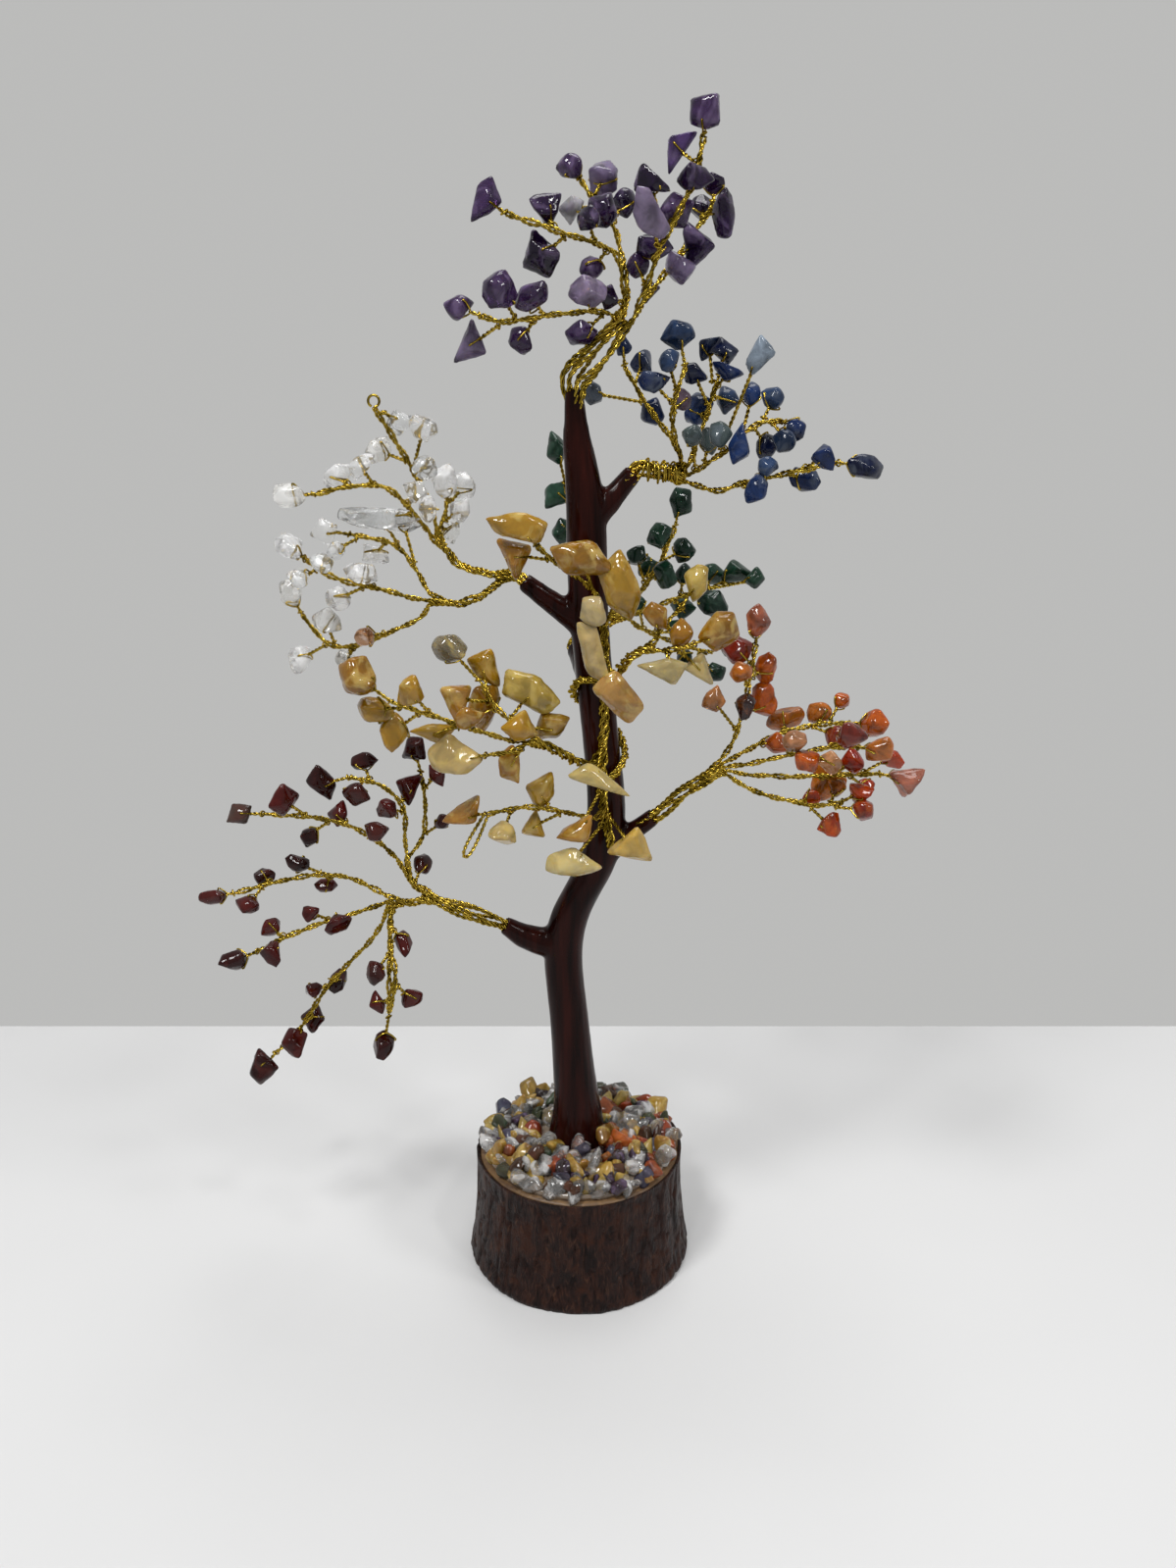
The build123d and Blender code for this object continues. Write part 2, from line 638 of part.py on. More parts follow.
class Tree:
    """Collects wires and stones, then settles the stones clear of each other and of the wires."""

    def __init__(self):
        self.solids = {}
        self.stones = []
        self.rods = []
        self.wires = 0
        self.waiting = []

    def add(self, node, solid):
        """Put a solid in a named node."""
        self.solids.setdefault(node, []).append(solid)

    def wire(self, node, points, dia):
        """Make a bent wire and note its runs, for the stones to keep clear of."""
        self.add(node, bent_wire(points, dia))
        self.block(centre_line(points), dia)

    def block(self, points, dia):
        """Note round runs that stones and stems keep clear of."""
        self.wires += 1
        for start, end in zip(points, points[1:]):
            self.rods.append((self.wires, start, end, dia / 2))

    def grow(self, body, name, twig, start, level):
        """Make a run of wire from its fork, note its stones and grow the runs it forks into."""
        dia = wire_dia(twig, level)
        points = start + [seen(*p) for p in twig.route]
        node = f"{name}_bundle" if level == 0 and twig.twigs else f"{name}_twigs"
        self.wire(node, points, dia)
        if level == 0:
            self.solids[node][-1] = (self.solids[node][-1] + Pos(*points[0]) * Sphere(dia / 2)).solid()
        for i, note in enumerate(twig.stones):
            at_end = not twig.twigs and i == len(twig.stones) - 1
            self.waiting.append((body, self.wires, note, centre_line(points), dia, at_end, None))
        for child, child_start in zip(twig.twigs, fork(points, twig.twigs, level)):
            self.grow(body, name, child, child_start, level + 1)

    def hang(self):
        """Hang every noted stone on its wire, with its foot where the stem meets no other wire."""
        starts, ends, radii, wires = self.rod_arrays()
        taken = {}
        for number, (body, wire, note, points, dia, at_end, depth) in enumerate(self.waiting):
            across, up, width, height = note
            if depth is None:
                depth = nearest_on(points, seen(across, up, points[-1][1]))[0][1]
                wave = sin(GOLDEN_ANGLE * number)
                depth += 0 if at_end else STONE_SPREAD * (wave + np.sign(wave)) / 2
            centre = seen(across, up, depth)
            foot = points[-1]
            if not at_end:
                others = wires != wire
                rods = starts[others], ends[others], radii[others]
                foot = foot_on(points, centre, dia, rods, taken.setdefault(wire, []))
            chip = facing_chip(centre, width, height, depth, number)
            self.stones.append(Stone(body, wire, centre, chip, foot, points, dia))

    def rod_arrays(self):
        """The noted runs as arrays: starts, ends, radii and the wire each belongs to."""
        starts, ends = np.array([r[1] for r in self.rods]), np.array([r[2] for r in self.rods])
        return starts, ends, np.array([r[3] for r in self.rods]), np.array([r[0] for r in self.rods])

    def settle(self):
        """Push stones apart until each is clear of every other stone, stem and wire."""
        for turn in range(SETTLE_TURNS):
            moves = self.conflicts()
            for stone, push in moves:
                stone.move(push * SETTLE_EASE)
            if not moves:
                break
        return turn, len(moves)

    def conflicts(self):
        """Pushes for every stone and stem that is nearer than the gap to something."""
        stones, moves = self.stones, []
        radius = STEM_DIA / 2
        centres = np.array([s.centre for s in stones])
        reach = np.array([s.chip.reach for s in stones])
        own = np.array([s.wire for s in stones])
        stems = [s.stem() for s in stones]
        starts, ends = np.array([s[0] for s in stems]), np.array([s[1] for s in stems])
        rod_starts, rod_ends, rod_radii, rod_wires = self.rod_arrays()
        apart = np.linalg.norm(centres[:, None] - centres[None], axis=2)
        for i, j in zip(*np.nonzero(np.triu(apart < reach[:, None] + reach[None] + STONE_GAP, 1))):
            push = chips_push(stones[i], stones[j])
            if push is not None:
                moves += [(stones[i], -push / 2), (stones[j], push / 2)]
        away = points_to_rods(centres, starts, ends)
        np.fill_diagonal(away, np.inf)
        for i, j in zip(*np.nonzero(away < reach[:, None] + radius + STONE_GAP)):
            push = rod_push(stones[i], starts[j], ends[j], radius)
            if push is not None:
                moves += [(stones[i], push * STEM_EASE), (stones[j], -push * STEM_EASE)]
        away = points_to_rods(centres, rod_starts, rod_ends)
        for i, j in zip(*np.nonzero(away < reach[:, None] + rod_radii[None] + STONE_GAP)):
            push = rod_push(stones[i], rod_starts[j], rod_ends[j], rod_radii[j])
            if push is not None:
                moves.append((stones[i], push))
        away, sides, shares = rods_apart(starts, ends, starts, ends)
        for i, j in zip(*np.nonzero(np.triu(away < 2 * radius + WIRE_GAP, 1))):
            push = unit(sides[i, j]) * (2 * radius + 2 * WIRE_GAP - away[i, j])
            moves.append((stones[i], push / max(shares[i, j], LEAST_SHARE)))
            moves.append((stones[j], -push / max(shares[j, i], LEAST_SHARE)))
        away, sides, shares = rods_apart(starts, ends, rod_starts, rod_ends)
        room = away - rod_radii[None] - radius
        for i, j in zip(*np.nonzero((room < WIRE_GAP) & (own[:, None] != rod_wires[None]))):
            push = unit(sides[i, j]) * (2 * WIRE_GAP - room[i, j])
            moves.append((stones[i], push / max(shares[i, j], LEAST_SHARE)))
        return moves

    def finish(self, node_of):
        """Turn the settled stones into drilled solids on their stems."""
        for stone in self.stones:
            name = node_of[stone.body]
            start, end = stone.stem()
            way = unit(end - start)
            self.add(f"{name}_stems", rod(start, end, STEM_DIA))
            far = stone.chip.reach + STEM_DIA
            drill = rod(stone.centre - way * far, stone.centre + way * far, STEM_DIA + 2 * HOLE_CLEARANCE)
            self.add(f"{name}_stones", (stone.chip.solid(stone.centre) - drill).solid())


def wire_dia(twig, level):
    """A run's diameter: bundles and branches fork, twigs end."""
    return (BUNDLE_DIA, BRANCH_DIA, TWIG_DIA)[level if twig.twigs else 2]


def facing_chip(centre, width, height, depth, number):
    """A stone's shape, turned a little from facing the viewer."""
    draw = Random(number)
    scale = (EYE_AHEAD + depth) / EYE_AHEAD
    sight = unit(centre - seen(EYE_ACROSS, EYE_ABOVE, -EYE_AHEAD))
    right = unit(np.cross(sight, np.array([0.0, 0.0, 1.0])))
    yaw = radians(draw.uniform(-STONE_YAW, STONE_YAW))
    nod = radians(draw.uniform(-STONE_NOD, STONE_NOD))
    turned = right * cos(yaw) + sight * sin(yaw)
    upward = np.cross(right, sight)
    outward = unit(np.cross(turned, upward) * cos(nod) + upward * sin(nod))
    upward = np.cross(outward, turned)
    width = max(width * scale, STONE_LEAST)
    height = max(height * scale, STONE_LEAST)
    thickness = min(max(STONE_DEPTH_SHARE * min(width, height), STONE_DEPTH_LEAST), STONE_DEPTH_MOST)
    return Chip(width, height, thickness, number, turned, upward, outward)


def nearest_on(points, target):
    """The nearest point on a run of wire, the distance along it, and the distance off it."""
    best, walked = None, 0.0
    for start, end in zip(points, points[1:]):
        run = end - start
        length = np.linalg.norm(run)
        share = float(np.clip((target - start) @ run / length**2, 0, 1))
        gap = np.linalg.norm(start + run * share - target)
        if best is None or gap < best[2]:
            best = (start + run * share, walked + share * length, gap)
        walked += length
    return best


def point_along(points, distance):
    """The point and direction at a distance along a run of wire."""
    for start, end in zip(points, points[1:]):
        length = np.linalg.norm(end - start)
        if distance <= length:
            break
        distance -= length
    return start + (end - start) * (min(distance, length) / length), (end - start) / length


def foot_on(line, centre, dia, rods, taken):
    """Where a stem leaves its wire: back from the nearest point, clear of other wires and stems."""
    total = np.linalg.norm(line[1:] - line[:-1], axis=1).sum()
    _, walked, gap = nearest_on(line, centre)
    low, high = min(LEAD_LENGTH + FOOT_SPACING, total / 2), total - FOOT_SPACING
    wanted = min(max(walked - STEM_SLANT * gap, low), high)
    spots = np.linspace(low, high, FOOT_TRIES)
    feet = [point_along(line, spot) for spot in spots]
    starts = np.array([stem_start(line, foot, centre, dia) for foot, _ in feet])
    ends = np.repeat(centre[None], FOOT_TRIES, axis=0)
    room = (rods_apart(starts, ends, *rods[:2])[0] - rods[2][None]).min(1) - STEM_DIA / 2
    crowd = np.array([min([abs(spot - t) for t in taken], default=FOOT_SPACING) for spot in spots])
    back = np.array([max(0.0, -float(unit(centre - foot) @ along)) for foot, along in feet])
    late = np.linalg.norm(starts - np.array([foot for foot, _ in feet]), axis=1) - dia / 2
    cost = np.abs(spots - wanted) + ROOM_COST * np.maximum(0, STONE_GAP - room)
    cost = cost + CROWD_COST * np.maximum(0, FOOT_SPACING - crowd) + BACK_COST * back + LATE_COST * late
    best = int(cost.argmin())
    taken.append(spots[best])
    return feet[best][0]


def fork(points, twigs, level):
    """Start points for the runs that leave a wire's end, each on its own side of the end."""
    if not twigs:
        return []
    end, along = points[-1], unit(points[-1] - points[-2])
    first, second = across_of(along)
    ways = [seen(*t.route[0]) - end for t in twigs]
    angles = [np.arctan2(w @ second, w @ first) for w in ways]
    order = sorted(range(len(twigs)), key=lambda i: angles[i])
    step = 2 * pi / len(twigs)
    base = np.angle(sum(np.exp(1j * (angles[i] - k * step)) for k, i in enumerate(order)))
    widest = max(wire_dia(t, level + 1) for t in twigs)
    ring = (widest + WIRE_GAP) / 2 / sin(pi / len(twigs)) if len(twigs) > 1 else 0.0
    starts = [None] * len(twigs)
    for k, i in enumerate(order):
        side = (first * cos(base + k * step) + second * sin(base + k * step)) * ring
        starts[i] = [end + along * WIRE_GAP + side, end + along * LEAD_LENGTH + side * FORK_FLARE]
    return starts


def points_to_rods(points, starts, ends):
    """Distances from each point to each straight run."""
    run = ends - starts
    length = np.maximum((run * run).sum(1), 1e-9)
    share = ((points[:, None] - starts[None]) * run[None]).sum(2) / length[None]
    near = starts[None] + run[None] * np.clip(share, 0, 1)[:, :, None]
    return np.linalg.norm(points[:, None] - near, axis=2)


def rods_apart(starts, ends, other_starts, other_ends):
    """Least distances between straight runs, the way across from the other run, and the share along."""
    run, other = (ends - starts)[:, None], (other_ends - other_starts)[None]
    between = starts[:, None] - other_starts[None]
    a, e = (run * run).sum(2), (other * other).sum(2)
    b, c, f = (run * other).sum(2), (run * between).sum(2), (other * between).sum(2)
    share = np.clip((b * f - c * e) / np.maximum(a * e - b * b, 1e-9), 0, 1)
    other_share = np.clip((b * share + f) / np.maximum(e, 1e-9), 0, 1)
    share = np.clip((b * other_share - c) / np.maximum(a, 1e-9), 0, 1)
    side = between + run * share[:, :, None] - other * other_share[:, :, None]
    return np.linalg.norm(side, axis=2), side + 1e-9, share


def best_axis(axes, room, gap):
    """The push along the axis that needs the least of it, with moves in depth preferred."""
    if room.max() >= gap:
        return None
    needed = (gap - room) * (1 + DEPTH_FAVOUR - DEPTH_FAVOUR * np.abs(axes[:, 1]))
    best = int(needed.argmin())
    return axes[best] * (gap - room[best] + PUSH_EXTRA)


def chips_push(one, other):
    """The push that takes the second of two stones clear of the first, or None."""
    between = unit(other.centre - one.centre + np.array([0.0, 1e-6, 0.0]))
    axes = np.vstack([one.chip.normals, -other.chip.normals, between])
    room = axes @ (other.centre - one.centre)
    room = room - (one.chip.points @ axes.T).max(0) - (other.chip.points @ -axes.T).max(0)
    return best_axis(axes, room, STONE_GAP)


def rod_push(stone, start, end, radius):
    """The push that takes a stone clear of a straight round run, or None."""
    run = end - start
    share = np.clip((stone.centre - start) @ run / max(run @ run, 1e-9), 0, 1)
    between = unit(start + run * share - stone.centre + np.array([0.0, 1e-6, 0.0]))
    axes = np.vstack([stone.chip.normals, between])
    room = np.minimum(axes @ (start - stone.centre), axes @ (end - stone.centre)) - radius
    room = room - (stone.chip.points @ axes.T).max(0)
    push = best_axis(axes, room, STONE_GAP)
    return None if push is None else -push


def trunk_at(up):
    """The trunk's place across, in depth, and its diameter, at a height above the log's top."""
    heights = [s[0] for s in TRUNK_SECTIONS]
    return tuple(float(np.interp(up, heights, [s[i] for s in TRUNK_SECTIONS])) for i in (1, 2, 3))


def limb_sections(name):
    """A limb's centres, directions and diameters from its root in the trunk to its tip."""
    route = LIMB_ROUTES[name]
    centres = [seen(*p[:3]) for p in route]
    dias = [p[3] for p in route[:-1]] + [BUNDLE_DIA + 2 * SOCKET_CLEARANCE + 2 * LIMB_LIP]
    ways = []
    for i in range(len(centres)):
        before, after = centres[max(i - 1, 0)], centres[min(i + 1, len(centres) - 1)]
        ways.append(unit(after - before))
    return centres, ways, dias


def pivot_of(name):
    """Where a bough bends: the wire's centre just outside its limb's end."""
    centres, ways, _ = limb_sections(name)
    return centres[-1] + ways[-1] * (BUNDLE_DIA / 2 + BEND_GAP)


def make_trunk(tree):
    """The lacquered trunk with its limbs, its foot tenon and the sockets for the wire roots."""
    sections = []
    for up, across, depth, dia in TRUNK_SECTIONS:
        sections.append(Plane(origin=(across, depth, BASE_HEIGHT + up)) * Circle(dia / 2))
    trunk = loft(sections)
    runs = [np.array([s[1], s[2], BASE_HEIGHT + s[0]]) for s in TRUNK_SECTIONS]
    for i, (start, end) in enumerate(zip(runs, runs[1:])):
        tree.block([start, end], max(TRUNK_SECTIONS[i][3], TRUNK_SECTIONS[i + 1][3]))
    foot_up, foot_across, foot_depth, _ = TRUNK_SECTIONS[0]
    tenon_top = BASE_HEIGHT + foot_up
    tenon = Pos(foot_across, foot_depth, tenon_top) * Cylinder(
        TENON_DIA / 2, TENON_DEPTH + foot_up, align=(Align.CENTER, Align.CENTER, Align.MAX)
    )
    trunk = trunk + tenon
    for name in LIMB_ROUTES:
        centres, ways, dias = limb_sections(name)
        limb = loft([plane_at(c, w) * Circle(d / 2) for c, w, d in zip(centres, ways, dias)])
        trunk = trunk + limb
        for start, end, dia in zip(centres, centres[1:], dias):
            tree.block([start, end], dia)
    for name in LIMB_ROUTES:
        centres, ways, _ = limb_sections(name)
        bottom = centres[-1] - ways[-1] * SOCKET_DEPTH
        outside = centres[-1] + ways[-1] * BEND_GAP
        trunk = trunk - rod(bottom, outside, BUNDLE_DIA + 2 * SOCKET_CLEARANCE)
        root_start = bottom + ways[-1] * SOCKET_CLEARANCE
        tree.add("wire_roots", rod(root_start, centres[-1], BUNDLE_DIA))
    tree.add("trunk", trunk.solid())


def make_base(tree):
    """The log slice with its bark, the resin bed on it and the chips set in the bed."""
    foot_across, foot_depth = TRUNK_SECTIONS[0][1:3]
    core_foot, core_top = BASE_FOOT_DIA / 2 - BARK_THICKNESS, BASE_TOP_DIA / 2 - BARK_THICKNESS
    on_foot = (Align.CENTER, Align.CENTER, Align.MIN)
    core = Cone(core_foot, core_top, BASE_HEIGHT, align=on_foot)
    socket_depth = TENON_DEPTH + TENON_CLEARANCE
    socket = Pos(foot_across, foot_depth, BASE_HEIGHT) * Cylinder(
        TENON_DIA / 2 + TENON_CLEARANCE, socket_depth, align=(Align.CENTER, Align.CENTER, Align.MAX)
    )
    tree.add("base_log", (core - socket).solid())
    bark = Cone(BASE_FOOT_DIA / 2, BASE_TOP_DIA / 2, BASE_HEIGHT, align=on_foot)
    tree.add("bark_ring", (bark - core).solid())
    bed_radius = BASE_TOP_DIA / 2 - RIM_WIDTH
    bed = Pos(0, 0, BASE_HEIGHT) * Cylinder(bed_radius, RESIN_THICKNESS, align=on_foot)
    hole = Pos(foot_across, foot_depth, BASE_HEIGHT) * Cylinder(
        TENON_DIA / 2 + TENON_CLEARANCE, RESIN_THICKNESS, align=on_foot
    )
    tree.add("resin_bed", (bed - hole).solid())
    foot_radius = TRUNK_SECTIONS[0][3] / 2
    inner = foot_radius + abs(foot_across) + FOOT_CLEARANCE + CHIP_WIDTH / 2
    outer = bed_radius - CHIP_WIDTH / 2
    spread = CHIP_SPACING / CHIP_PACKING
    draw = Random(BED_SEED)
    number = 0
    for k in range(int((inner / spread) ** 2) + 1, int((outer / spread) ** 2) + 1):
        radius, angle = spread * sqrt(k), GOLDEN_ANGLE * k
        turn = draw.uniform(0, 2 * pi)
        tilt = radians(draw.uniform(-CHIP_TILT, CHIP_TILT))
        right = np.array([cos(turn), sin(turn), 0.0])
        ahead = np.array([-sin(turn) * cos(tilt), cos(turn) * cos(tilt), sin(tilt)])
        outward = np.cross(right, ahead)
        width, height = CHIP_WIDTH * draw.uniform(*CHIP_VARIES), CHIP_WIDTH * draw.uniform(*CHIP_VARIES)
        thickness = CHIP_THICKNESS * draw.uniform(*CHIP_THICKNESS_VARIES)
        chip = Chip(width, height, thickness, CHIP_SEED + k, right, ahead, outward)
        lift = BASE_HEIGHT + RESIN_THICKNESS + CHIP_GAP - chip.points[:, 2].min()
        centre = np.array([radius * cos(angle), radius * sin(angle), lift])
        kinds = len(CHIP_COLOURS)
        colour = CHIP_COLOURS[(number * CHIP_COLOUR_STEP + number // kinds) % kinds]
        tree.add(f"base_chips_{colour}", chip.solid(centre))
        number += 1


def biarc(start, start_way, end, end_way):
    """Two arcs that leave the start and reach the end along the given directions."""
    between, both = end - start, start_way + end_way
    spread = 2 * (1 - start_way @ end_way)
    reach = (-(between @ both) + sqrt((between @ both) ** 2 + spread * (between @ between))) / spread
    low, high = start + start_way * reach, end - end_way * reach
    middle = (low + high) / 2
    way = unit(high - low)
    return [
        Edge.make_tangent_arc(tuple(start), tuple(start_way), tuple(middle)),
        Edge.make_tangent_arc(tuple(middle), tuple(way), tuple(end)),
    ]


def make_binding(tree):
    """The wire that ties the yellow spray on: round the back of the trunk, rising from right to left."""
    open_angle = radians(BINDING_OPEN)

    def at(share):
        """The binding's centre line at a share of its length."""
        up = BINDING_LOW + (BINDING_HIGH - BINDING_LOW) * share
        across, depth, dia = trunk_at(up)
        radius = dia / 2 + BINDING_CLEAR + BINDING_DIA / 2
        angle = -pi / 2 + open_angle + (2 * pi - 2 * open_angle) * share
        return np.array([across + radius * cos(angle), depth + radius * sin(angle), BASE_HEIGHT + up])

    def way(share):
        """The binding's direction at a share of its length."""
        return unit(at(share + TINY) - at(share - TINY))

    edges = []
    for i in range(BINDING_ARCS):
        low, high = i / BINDING_ARCS, (i + 1) / BINDING_ARCS
        edges += biarc(at(low), way(low), at(high), way(high))
    tube = sweep(plane_at(at(0), way(0)) * Circle(BINDING_DIA / 2), path=Wire(edges)).solid()
    tree.add("yellow_binding", tube)
    tree.block([at(i / BINDING_RUNS) for i in range(BINDING_RUNS + 1)], BINDING_DIA)


def make_spine(tree):
    """The wire down the trunk's front, the stones that stand on it and the two capping stones above."""
    points = []
    for across, up in SPINE_ROUTE:
        centre, depth, dia = trunk_at(up)
        front = sqrt(max((dia / 2) ** 2 - (across - centre) ** 2, 0))
        points.append(np.array([across, depth - front - SPINE_DIA / 2 - BINDING_CLEAR, BASE_HEIGHT + up]))
    tree.wire("yellow_spine", points, SPINE_DIA)
    for note in SPINE_STONES:
        line = centre_line(points)
        tree.waiting.append(("root", tree.wires, note, line, SPINE_DIA, False, SPINE_STONE_DEPTH))
    top, way = points[0], unit(points[0] - points[1])
    start = [top + way * WIRE_GAP, top + way * LEAD_LENGTH]
    tree.grow("root", "yellow_front", CAP_TWIG, start, 1)
    return points


def spine_pivot(points, twig, up, side):
    """A bough's bend point beside the spine at a height, on its left (-1) or right (1)."""
    rising = points[::-1]
    heights = [p[2] for p in rising]
    at = np.array([np.interp(BASE_HEIGHT + up, heights, [p[i] for p in rising]) for i in range(3)])
    apart = (SPINE_DIA + wire_dia(twig, 0)) / 2 + BEND_GAP
    return at + np.array([side * apart, -SPINE_DIA / 4, 0.0])


BOUGHS = {
    "amethyst": AMETHYST,
    "lapis": LAPIS,
    "quartz": QUARTZ,
    "carnelian": CARNELIAN,
    "garnet": GARNET,
    "green": GREEN,
    "yellow_left": YELLOW_LEFT,
    "yellow_low": YELLOW_LOW,
    "yellow_right": YELLOW_RIGHT,
}
SPINE_BOUGHS = {"yellow_left": (97.6, -1), "yellow_low": (86.0, -1), "yellow_right": (117.5, 1)}


def main():
    """Build every piece and write one file per node."""
    tree = Tree()
    make_base(tree)
    make_trunk(tree)
    make_binding(tree)
    spine = make_spine(tree)
    node_of = {"root": "yellow_front"}
    for name, twig in BOUGHS.items():
        pivot = spine_pivot(spine, twig, *SPINE_BOUGHS[name]) if name in SPINE_BOUGHS else pivot_of(name)
        print(f"{name}: bends at {np.round(pivot, 3).tolist()}")
        tree.grow(f"{name}_bough", name, twig, [pivot], 0)
        node_of[f"{name}_bough"] = name
    tree.hang()
    turn, left = tree.settle()
    moved = max(np.linalg.norm(s.centre - s.home) for s in tree.stones)
    print(f"stones: {len(tree.stones)}, settled in {turn} turns, {left} left, moved {moved:.1f} mm at most")
    tree.finish(node_of)
    os.makedirs("parts", exist_ok=True)
    for node, solids in tree.solids.items():
        export_step(solids[0] if len(solids) == 1 else Compound(solids), f"parts/{node}.step")


main()
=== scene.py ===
"""Dresses the gemstone tree: tumbled stone chips on twisted brass wire, a lacquered trunk and a log slice."""

import json
import logging
from collections.abc import Callable
from dataclasses import dataclass, field
from enum import Enum
from math import cos, pi, radians, sin, sqrt
from random import Random

import bmesh
import bpy
import numpy as np
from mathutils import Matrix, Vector, noise

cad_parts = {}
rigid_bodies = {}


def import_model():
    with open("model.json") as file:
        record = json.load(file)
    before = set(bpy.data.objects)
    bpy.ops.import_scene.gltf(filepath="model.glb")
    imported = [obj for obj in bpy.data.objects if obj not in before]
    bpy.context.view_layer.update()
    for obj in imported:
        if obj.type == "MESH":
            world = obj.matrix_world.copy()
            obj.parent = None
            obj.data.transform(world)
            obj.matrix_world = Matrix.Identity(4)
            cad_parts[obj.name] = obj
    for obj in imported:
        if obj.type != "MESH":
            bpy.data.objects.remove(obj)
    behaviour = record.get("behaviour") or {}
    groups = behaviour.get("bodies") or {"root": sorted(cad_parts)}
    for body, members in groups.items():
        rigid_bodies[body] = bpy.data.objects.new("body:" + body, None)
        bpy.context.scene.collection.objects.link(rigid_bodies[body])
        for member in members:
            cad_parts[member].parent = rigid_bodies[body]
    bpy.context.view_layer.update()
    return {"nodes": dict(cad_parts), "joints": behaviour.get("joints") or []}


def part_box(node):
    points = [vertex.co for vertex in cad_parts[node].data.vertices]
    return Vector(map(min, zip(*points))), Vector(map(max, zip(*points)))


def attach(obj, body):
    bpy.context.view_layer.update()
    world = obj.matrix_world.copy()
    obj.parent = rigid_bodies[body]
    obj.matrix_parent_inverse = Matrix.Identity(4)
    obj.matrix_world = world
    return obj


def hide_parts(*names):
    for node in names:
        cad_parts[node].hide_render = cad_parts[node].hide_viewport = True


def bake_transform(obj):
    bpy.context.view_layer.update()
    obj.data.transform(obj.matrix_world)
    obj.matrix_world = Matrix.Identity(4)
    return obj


for leftover in list(bpy.data.objects):
    bpy.data.objects.remove(leftover)
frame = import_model()

LOG = logging.getLogger("gemstone_tree")
MM = 0.001
STAND = "stand"
Colour = tuple[float, float, float]
Line = np.ndarray

# The view of the photograph: eye in millimetres, pitch in degrees, lens and sensor height in millimetres
EYE = np.array([2.15, -264.1, 209.2])
PITCH_DOWN = 18.67
LENS = 28.0
SENSOR_HEIGHT = 34.6
LOG_TOP = 28.0

# How many skin points at least share a middle on a round wire
FULL_RING = 5

# What sets the random draws apart: a spray's chips, stems, knots, twigs and bundle, by its own number
CHIP_SEED, STEM_SEED, KNOT_SEED, TWIG_SEED, BUNDLE_SEED = 1000, 77, 99, 31, 53

# The same for wires on the trunk, odd bits of wire, and the bed's chips by the order of their colours
TRUNK_SEED, WRAP_SEED, HAIRPIN_SEED = 900, 61, 17
BED_SEED, BED_CHIP_SEED, BED_SEED_STEP = 4000, 5000, 500

# Points over the tree and halfway up it, in millimetres
HIGH = np.array([0.0, 0.0, 300.0])
MIDWAY = np.array([0.0, 0.0, 150.0])


class Gem(Enum):
    """The seven kinds of stone."""

    AMETHYST = "amethyst"
    LAPIS = "lapis"
    QUARTZ = "quartz"
    CARNELIAN = "carnelian"
    GARNET = "garnet"
    AVENTURINE = "aventurine"
    YELLOW = "yellow"


def unit(vector: np.ndarray) -> np.ndarray:
    """The direction of a vector."""
    return vector / max(float(np.linalg.norm(vector)), 1e-12)


def read(items: bpy.types.bpy_prop_collection, what: str, width: int = 3,
         kind: type = np.float32) -> np.ndarray:
    """Reads one attribute of all items of a mesh.

    Args:
        items: The mesh's points, edges or corners.
        what: The attribute.
        width: How many numbers it has.
        kind: The kind of number.

    Returns:
        One row for each item.
    """
    values = np.zeros(len(items) * width, kind)
    items.foreach_get(what, values)
    return values.reshape(-1, width)


def stands_for(piece: bpy.types.Object, node: str, body: str = STAND) -> None:
    """Lets a piece ride with a body, for the node that it stands for."""
    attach(piece, body)
    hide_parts(node)


def add_node(tree: bpy.types.NodeTree, kind: str, **inputs: object) -> bpy.types.Node:
    """Adds a node to a tree.

    Args:
        tree: The tree of a material or the world.
        kind: Blender's name for the node.
        inputs: Values or sockets by input name, with underscores for spaces.

    Returns:
        The node.
    """
    node = tree.nodes.new(kind)
    for name, value in inputs.items():
        socket = node.inputs[name.replace("_", " ")]
        if isinstance(value, bpy.types.NodeSocket):
            tree.links.new(value, socket)
        else:
            socket.default_value = value
    return node


def random_way(draw: Random) -> np.ndarray:
    """A direction by chance."""
    return unit(np.array([draw.gauss(0, 1) for _ in range(3)]))


def rough(point: np.ndarray, size: float, octaves: int = 3) -> float:
    """Smooth fractal noise at a point, about -1 to 1.

    Args:
        point: Where, in millimetres.
        size: The size of the largest lumps, in millimetres.
        octaves: How many finer layers are added.

    Returns:
        The noise value.
    """
    return noise.fractal(Vector(point / size), 1.0, 2.0, octaves)


